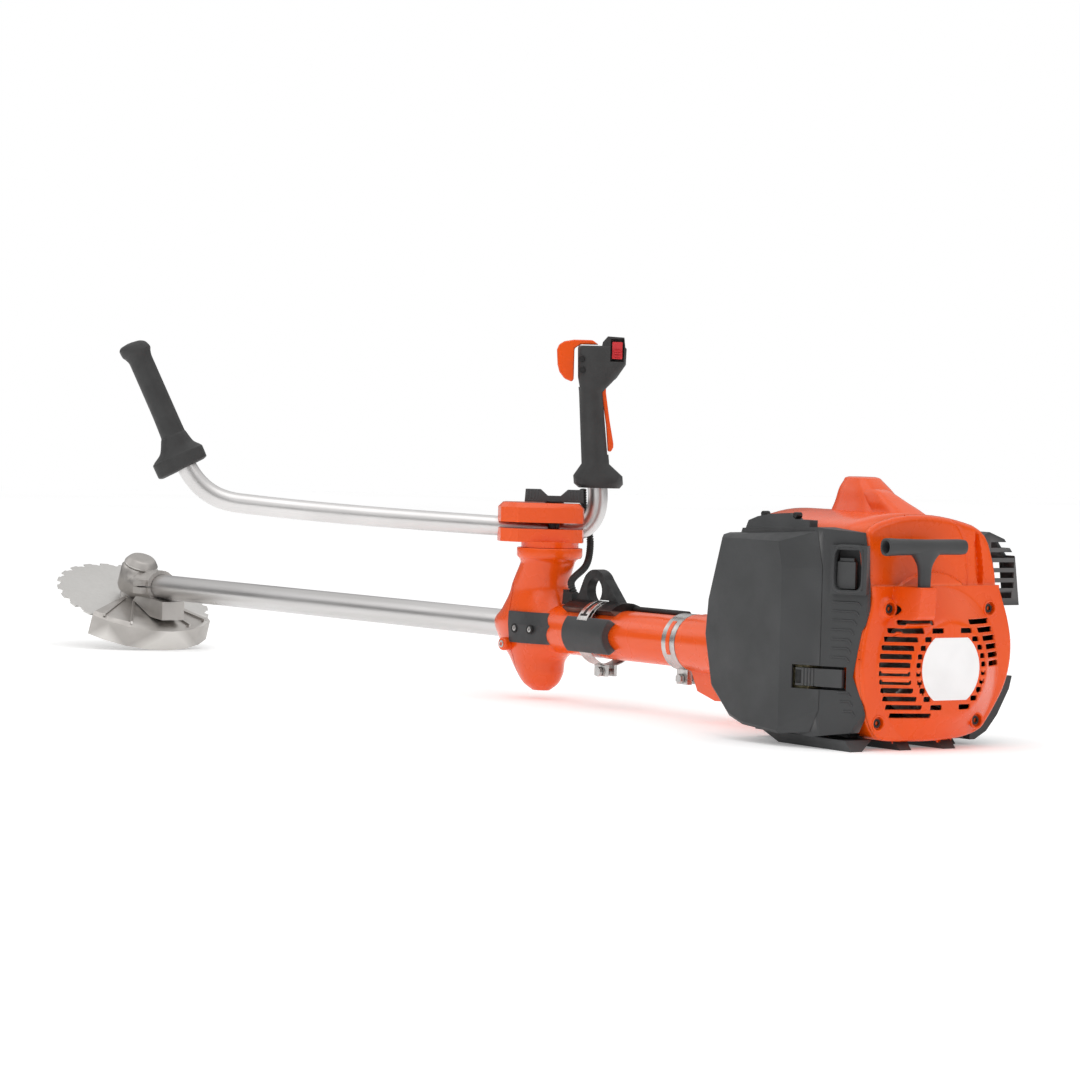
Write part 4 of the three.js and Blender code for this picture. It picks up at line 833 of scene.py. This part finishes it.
def top_rear(y, z, rounding=True):
    """Rearness of the hood: its plane, an arc plate, a groove 1.1 mm deep within 0.7 mm of a line that eases
    out at 1.7 mm, and a sunk recess with sloping sides."""
    line = np.full(y.shape, 1e9)
    for (ay, az), (by, bz) in zip(GROOVE[:-1], GROOVE[1:]):
        s = np.clip(((y - ay) * (by - ay) + (z - az) * (bz - az)) / ((by - ay) ** 2 + (bz - az) ** 2), 0, 1)
        line = np.minimum(line, np.hypot(y - ay - s * (by - ay), z - az - s * (bz - az)))
    plate = np.clip((80.6 - np.hypot(y - 11, z - 117)) / 1.2, 0, 1) * 3.6
    depth = np.clip(outline_distance(RECESS, y, z) / 1.4, 0, 1) * 7
    base = 114 + plate - 1.1 * np.clip(1.7 - line, 0, 1) - depth
    return base - (edge_round(outline_distance(top_edge, y, z), 7.0) if rounding else 0)


hood_face = face_skin("cylinder_cover_face", lambda y, z: outline_distance(top_outline, y, z), top_rear,
                      (-90, 107, 182, 262), 1.1, 2.6, orange_abs)
put(hood_face, "chassis", "orange_plastic", "cylinder_cover")
hood_wall = rim_wall(top_outline, lambda y, z: 0 * y + 114.0, 86, 6.9)
hood = sheet_mesh("cylinder_cover_hood", [(hood_wall[0], False, False, False)], orange_abs)
hood.modifiers.new("wall", "SOLIDIFY").thickness = 0.0026
put(hood, "chassis", "orange_plastic")
front_wall = face_skin("cylinder_cover_front", lambda y, z: outline_distance(top_outline, y, z),
                       lambda y, z: 0 * y - 86, (-90, 107, 182, 262), 3.0, -2.6, orange_abs)
put(front_wall, "chassis", "orange_plastic")
hump = lofted([[236, 0, 0, 56, 46, 3.2], [244, 0, 0, 53, 43, 3.2], [252, 0, 0, 49.5, 39.5, 3.4],
               [258, 1, 0.4, 46.5, 36.5, 3.4], [270, 6, 1.8, 38, 29, 3.4], [285, 12, 3, 29, 22, 3.4],
               [294, 16, 2.4, 22, 17, 3.2], [296.8, 17.5, 2.2, 19.4, 15.4, 3.2],
               [298.1, 18.2, 2, 15.5, 12, 3]], 120) / 1000
put(sheet_mesh("spark_plug_hump", [(hump, False, True, True)], orange_abs), "chassis", "orange_plastic")
spine = lofted([[240, -52, 6, 40, 34, 4], [252, -50, 4, 34, 30, 4], [262, -44, 6, 26, 24, 4],
                [272, -34, 10, 20, 18, 4], [282, -20, 12, 17, 12, 4], [285, -16, 12, 13, 9, 4]], 96) / 1000
put(sheet_mesh("hump_buttress", [(spine, False, True, True)], orange_abs), "chassis", "orange_plastic")

# ---- Pull handle and starter rope ----
# Moulded grey T-handle with a hollow left end; the rope leaves through its stem and the horn of the cover.
HANDLE = np.array([-146.5, 49.5, 226.0])
bar = lofted([[-57, 0, 0, 5, 4.8, 2.6], [-56.6, 0, 0, 7, 6.6, 2.6], [-55, 0, 0, 8.4, 8, 2.6],
              [-50, 0, 0, 8.8, 8.6, 2.6], [0, 0, 0, 8.4, 8.4, 2.6], [40, 0, 0, 9, 9.2, 2.6],
              [52, 0, 0, 9.4, 9.8, 2.6], [56.4, 0, 0, 9.2, 9.6, 2.4], [57, 0, 0, 8.6, 9.0, 2.2],
              [57, 0, 0, 6.9, 7.2, 2], [56, 0, 0, 6.4, 6.6, 2], [43, 0, 0, 6, 6.2, 2]], 64, False)
stem = lofted([[170, 0, 0, 6, 7, 2.2], [200, 0, 0, 6, 8, 2.4], [212, 0, 0, 7, 13, 2.6],
               [222, 0, 0, 8.2, 24, 3]], 64)
handle = sheet_mesh("pull_handle_skin", [((bar[..., [0, 2, 1]] + HANDLE) / 1000, False, True, True),
                                         ((stem + HANDLE * (1, 1, 0)) / 1000, False, True, True)], grey_nylon)
put(handle, "starter_handle", "grey_plastic", "pull_handle")
# Dark disc and short wall in the hollow end: painted shade inside it
hollow = turned([[0, 0], [5.9, 0], [5.9, 1]], HANDLE + (0, 43.3, 0), (0, 1, 0), 32)
put(sheet_mesh("pull_handle_hollow", [hollow], hole_shade_black), "starter_handle", "grey_plastic")

# Braided nylon rope, 3.4 mm thick, wound on the pulley. It is drawn out between the horn and the stem.
rope_nylon = surface_material(
    "braided_nylon_rope",
    lambda m: between(m, noise(m, 1.2, 3, (1, 1, 3)), linear("#C9C7C2"), linear("#E4E2DE")), 0.8, 0.0,
    lambda m: (noise(m, 1.0, 3), 0.0002))
rope_path = np.linspace(HANDLE + (0, 0, -60), HANDLE + (0, 0, -24), 240)
rope = sheet_mesh("starter_rope", [piped(rope_path, 1.7, 14)], rope_nylon)
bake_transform(rope)

# ---- Air filter housing ----
# Grey nylon base and lid. Raised cooling ribs hook round on the rear flank, a thick-rimmed frame holds the
# start button, and a ribbed lever latches the lid.
worked("filter_base", grey_nylon, "grey_plastic", 1.6, 30)
worked("air_filter_cover", grey_nylon, "grey_plastic", 2.4, 25)
worked("filter_latch", grey_nylon, "grey_plastic", 1.0, 30)
worked("start_button", grey_nylon, "grey_plastic", 2.0, 30)
LATCH_TURN = np.radians(22)
ends = [np.array([-95 + np.cos(LATCH_TURN) * x - np.sin(LATCH_TURN) * 3.15,
                  118 + np.sin(LATCH_TURN) * x + np.cos(LATCH_TURN) * 3.15]) for x in (50.5, 57.5)]
# Thin dark sheet in the lever's finger hole: painted shade
dark_end = np.array([[[*ends[0], 71.5], [*ends[0], 86.5]], [[*ends[1], 71.5], [*ends[1], 86.5]]]) / 1000
recess = sheet_mesh("latch_finger_hole", [(dark_end, False, False, False)], hole_shade_black)
recess.modifiers.new("wall", "SOLIDIFY").thickness = 0.0003
put(recess, "latch", "grey_plastic")
FLANK = np.array([(-73.0, 132.0), (-117.0, 106.0)])
flank_out = np.array([FLANK[0, 1] - FLANK[1, 1], -(FLANK[0, 0] - FLANK[1, 0])])
flank_out = -flank_out / np.linalg.norm(flank_out)


def on_flank(fraction, z, proud=0.0):
    """Point on the flank line at a fraction of its length, a height, and a distance out from it."""
    place = FLANK[0] + (FLANK[1] - FLANK[0]) * np.asarray(fraction, float)[..., None]
    place = place + flank_out * np.asarray(proud, float)[..., None]
    return np.concatenate([place, np.broadcast_to(np.asarray(z, float)[..., None], place.shape[:-1] + (1,))],
                          -1)


RIBS = [(163.4, 0.22, 0.837), (153.5, 0.22, 0.789), (143.5, 0.22, 0.736), (133.1, 0.22, 0.683),
        (122.4, 0.22, 0.636), (112.5, 0.22, 0.619), (102.6, 0.22, 0.589), (64.3, 0.399, 0.648),
        (54.6, 0.45, 0.69), (43.8, 0.525, 0.751)]
bars = []
for z, near, far in RIBS:
    f = np.r_[np.linspace(near, far, 14), far + 0.045]
    fall = np.r_[np.zeros(13), -1.0, -4.4]
    bars.append(piped(even(on_flank(f, z + fall, np.r_[-1.0, np.full(14, 0.1)]), 1.0), 1.05, 12))
put(sheet_mesh("filter_base_ribs", bars, grey_nylon, 60), "chassis", "grey_plastic")


def frame_ring(centre_fraction, z, half, corner, section):
    """Rounded rectangular frame on the flank: a section [inset, proud] swept round a round-cornered
    rectangle."""
    t = np.linspace(0, 2 * np.pi, 96, endpoint=False)
    rows = []
    for inset, proud in section:
        a, b = half[0] - inset, half[1] - inset
        p = max(2.0, 2 * min(a, b) / corner)
        u = a * np.sign(np.cos(t)) * np.abs(np.cos(t)) ** (2 / p)
        v = b * np.sign(np.sin(t)) * np.abs(np.sin(t)) ** (2 / p)
        rows.append(on_flank(centre_fraction + u / 51.1, z + v, np.full(t.shape, float(proud))))
    return np.array(rows) / 1000, True, True, False


bezel_section = rounded([[0, -1], [0, 5.8], [1.2, 8.0], [3.0, 8.0], [3.9, 5.8], [3.9, -1]], 1.2).tolist()
bezel = frame_ring(0.6, 199.8, (18.9, 27.2), 7, bezel_section)
put(sheet_mesh("button_frame", [bezel], grey_nylon), "chassis", "grey_plastic")
clasp_parts = [turned(rounded([[0, 0], [3.4, 0], [3.4, 9], [0, 9]], 0.6), (x, 122.2, 256.4 - abs(x) * 0.04),
                      (0, 1, 0), 28) for x in (-20, 36)]
put(sheet_mesh("clasp_pins", clasp_parts, dark_steel), "chassis", "grey_plastic")

# ---- Saw blade ----
# Flat ground steel disc with 24 shallow chisel teeth: each has a low rising back, a step up to a flat top and
# a drop into the next gullet. Faint turning rings mark its face.
head_axis = np.array([np.sin(np.radians(-23)), 0, np.cos(np.radians(-23))])
bright_blade = surface_material(
    "ground_saw_steel",
    lambda m: between(m, noise(m, 70, 3), linear("#C6C4C1"), linear("#D0CECB")),
    lambda m: between(m, noise(m, 3, 4), (0.34,), (0.5,)), 0.9,
    lambda m: (add(m, "ShaderNodeTexWave",
                   {"Vector": add(m, "ShaderNodeTexCoord").outputs["Object"], "Scale": 60.0},
                   wave_type="RINGS", rings_direction="SPHERICAL").outputs["Fac"], 0.00004))
blade_low, blade_high = (np.array(v) * 1000 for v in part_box("saw_blade"))
blade_middle = (blade_low + blade_high) / 2
blade_radius = (blade_high[1] - blade_low[1]) / 2
TOOTH = np.array([(0.0, 0.945), (0.05, 0.936), (0.12, 0.938), (0.19, 0.958), (0.42, 0.972), (0.46, 0.997),
                  (0.88, 1.0), (0.90, 0.998), (0.95, 0.95)])
TEETH = 24
turn = ((np.arange(TEETH)[:, None] + TOOTH[None, :, 0]) / TEETH * 2 * np.pi).ravel()
tip = np.tile(TOOTH[:, 1], TEETH) * blade_radius
_, side, across = axes_of(head_axis)
rings = []
for share, lift in ((0.1, -0.9), (0.55, -0.9), (0.999, -0.9), (1.0, -0.8),
                    (1.0, 0.8), (0.999, 0.9), (0.55, 0.9), (0.1, 0.9)):
    r = np.where(share < 0.9, share * blade_radius, tip * share)
    spoke = np.cos(turn)[:, None] * side + np.sin(turn)[:, None] * across
    rings.append(blade_middle + lift * head_axis + r[:, None] * spoke)
blade = sheet_mesh("saw_blade_disc", [(np.array(rings) / 1000, True, True, False)], bright_blade, 30)
put(blade, "blade", "steel", "saw_blade")

# ---- Harness suspension ----
# Two grey side pads and a steel strap grip the support tube; the dark plate's eye stands on top and a pin
# closes the strap underneath. The pads bow out in front and hollow in behind.
worked("suspension_eye", dark_steel, "dark_steel", 1.2, 35)
worked("suspension_strap", bright_steel, "steel", 0.5, 35)


def arc_patch(x, degrees, r, bow=(0, 0), lip=0.6, steps=40):
    """Curved plate round the tube: x from x0 + bow0 * c to x1 + bow1 * c, where c = 1 - (2s - 1)^2 is
    greatest at mid-angle, between two radii, with the outer rim chamfered. Angles are from the left side
    upwards."""
    s = np.linspace(0, 1, steps)
    angle = np.radians(degrees[0] + (degrees[1] - degrees[0]) * s)
    swell = 1 - (2 * s - 1) ** 2
    x0, x1 = x[0] + bow[0] * swell, x[1] + bow[1] * swell
    section = [(x0, r[0]), (x0, r[1] - lip), (x0 + lip, r[1]), (x1 - lip, r[1]), (x1, r[1] - lip), (x1, r[0])]
    rows = [np.stack([px, pr * np.cos(angle), 90 + pr * np.sin(angle)], -1) for px, pr in section]
    return np.array(rows).transpose(1, 0, 2) / 1000, False, True, True


wings = [arc_patch((441, 528), span, (31.2, 41.3), (9, 5), 1.1) for span in ((-33, 30), (150, 213))]
put(sheet_mesh("suspension_side_pads", wings, grey_nylon), "harness_ring", "grey_plastic", "suspension_pad")
buckle = [arc_patch((485, 505), (24, 48), (41.2, 42.1), lip=0.3),
          arc_patch((485.5, 492), (47, 74), (40.1, 42.1), lip=0.3),
          arc_patch((498, 504.5), (47, 74), (40.1, 42.1), lip=0.3)]
put(sheet_mesh("strap_buckle", buckle, bright_steel), "harness_ring", "steel")
# Thin dark strips in and under the buckle's slot: painted shade in the opening
slot = [arc_patch((492.4, 497.6), (34, 48), (42.0, 42.25), lip=0.1),
        arc_patch((488, 502), (32, 36), (42.0, 42.25), lip=0.1),
        arc_patch((492, 498), (48, 74), (40.1, 41.2), lip=0.3)]
put(sheet_mesh("strap_buckle_slot", slot, hole_shade_black), "harness_ring", "dark_steel")

# ---- Clutch housing and band clamp ----
# Orange coated bell with a gusset below, between the crankcase and the support tube. A bright steel band is
# clamped on the tube in front of it; an orange strip laid on the band stands for its window.
worked("clutch_housing", orange_coat, "orange_plastic", 1.6, 30)
worked("band_clamp", bright_steel, "steel", 0.4, 35)
window = [arc_patch((324.5, 331.5), (-24, 48), (34.2, 34.75), lip=0.1)]
put(sheet_mesh("band_clamp_window", window, orange_coat), "chassis", "orange_plastic")

# ---- Gear head ----
# Sand-cast aluminium housing with a domed cap and a cast skirt guard, all tumbled to a dull grain.
worked("gear_housing", cast_aluminium, "cast_aluminium", 4.0, 40)
worked("gear_cap", cast_aluminium, "cast_aluminium", 3.0, 40)
worked("blade_guard", cast_aluminium, "cast_aluminium", 1.0, 40)

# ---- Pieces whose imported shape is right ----
# Castings, shafts, fans and small parts inside the housings: each keeps its own shape with rounded edges.
slots = {"orange_plastic": orange_abs, "orange_tube": orange_abs, "grey_plastic": grey_nylon,
         "black_rubber": black_rubber, "cast_aluminium": cast_aluminium, "drawn_aluminium": drawn_aluminium,
         "steel": bright_steel, "dark_steel": dark_steel, "red_plastic": red_plastic,
         "filter_foam": filter_foam}
for entry in frame["record"]["subparts"]:
    if frame["nodes"][entry["node"]].hide_render:
        continue
    worked(entry["node"], slots[entry["material_slot"]], entry["material_slot"])
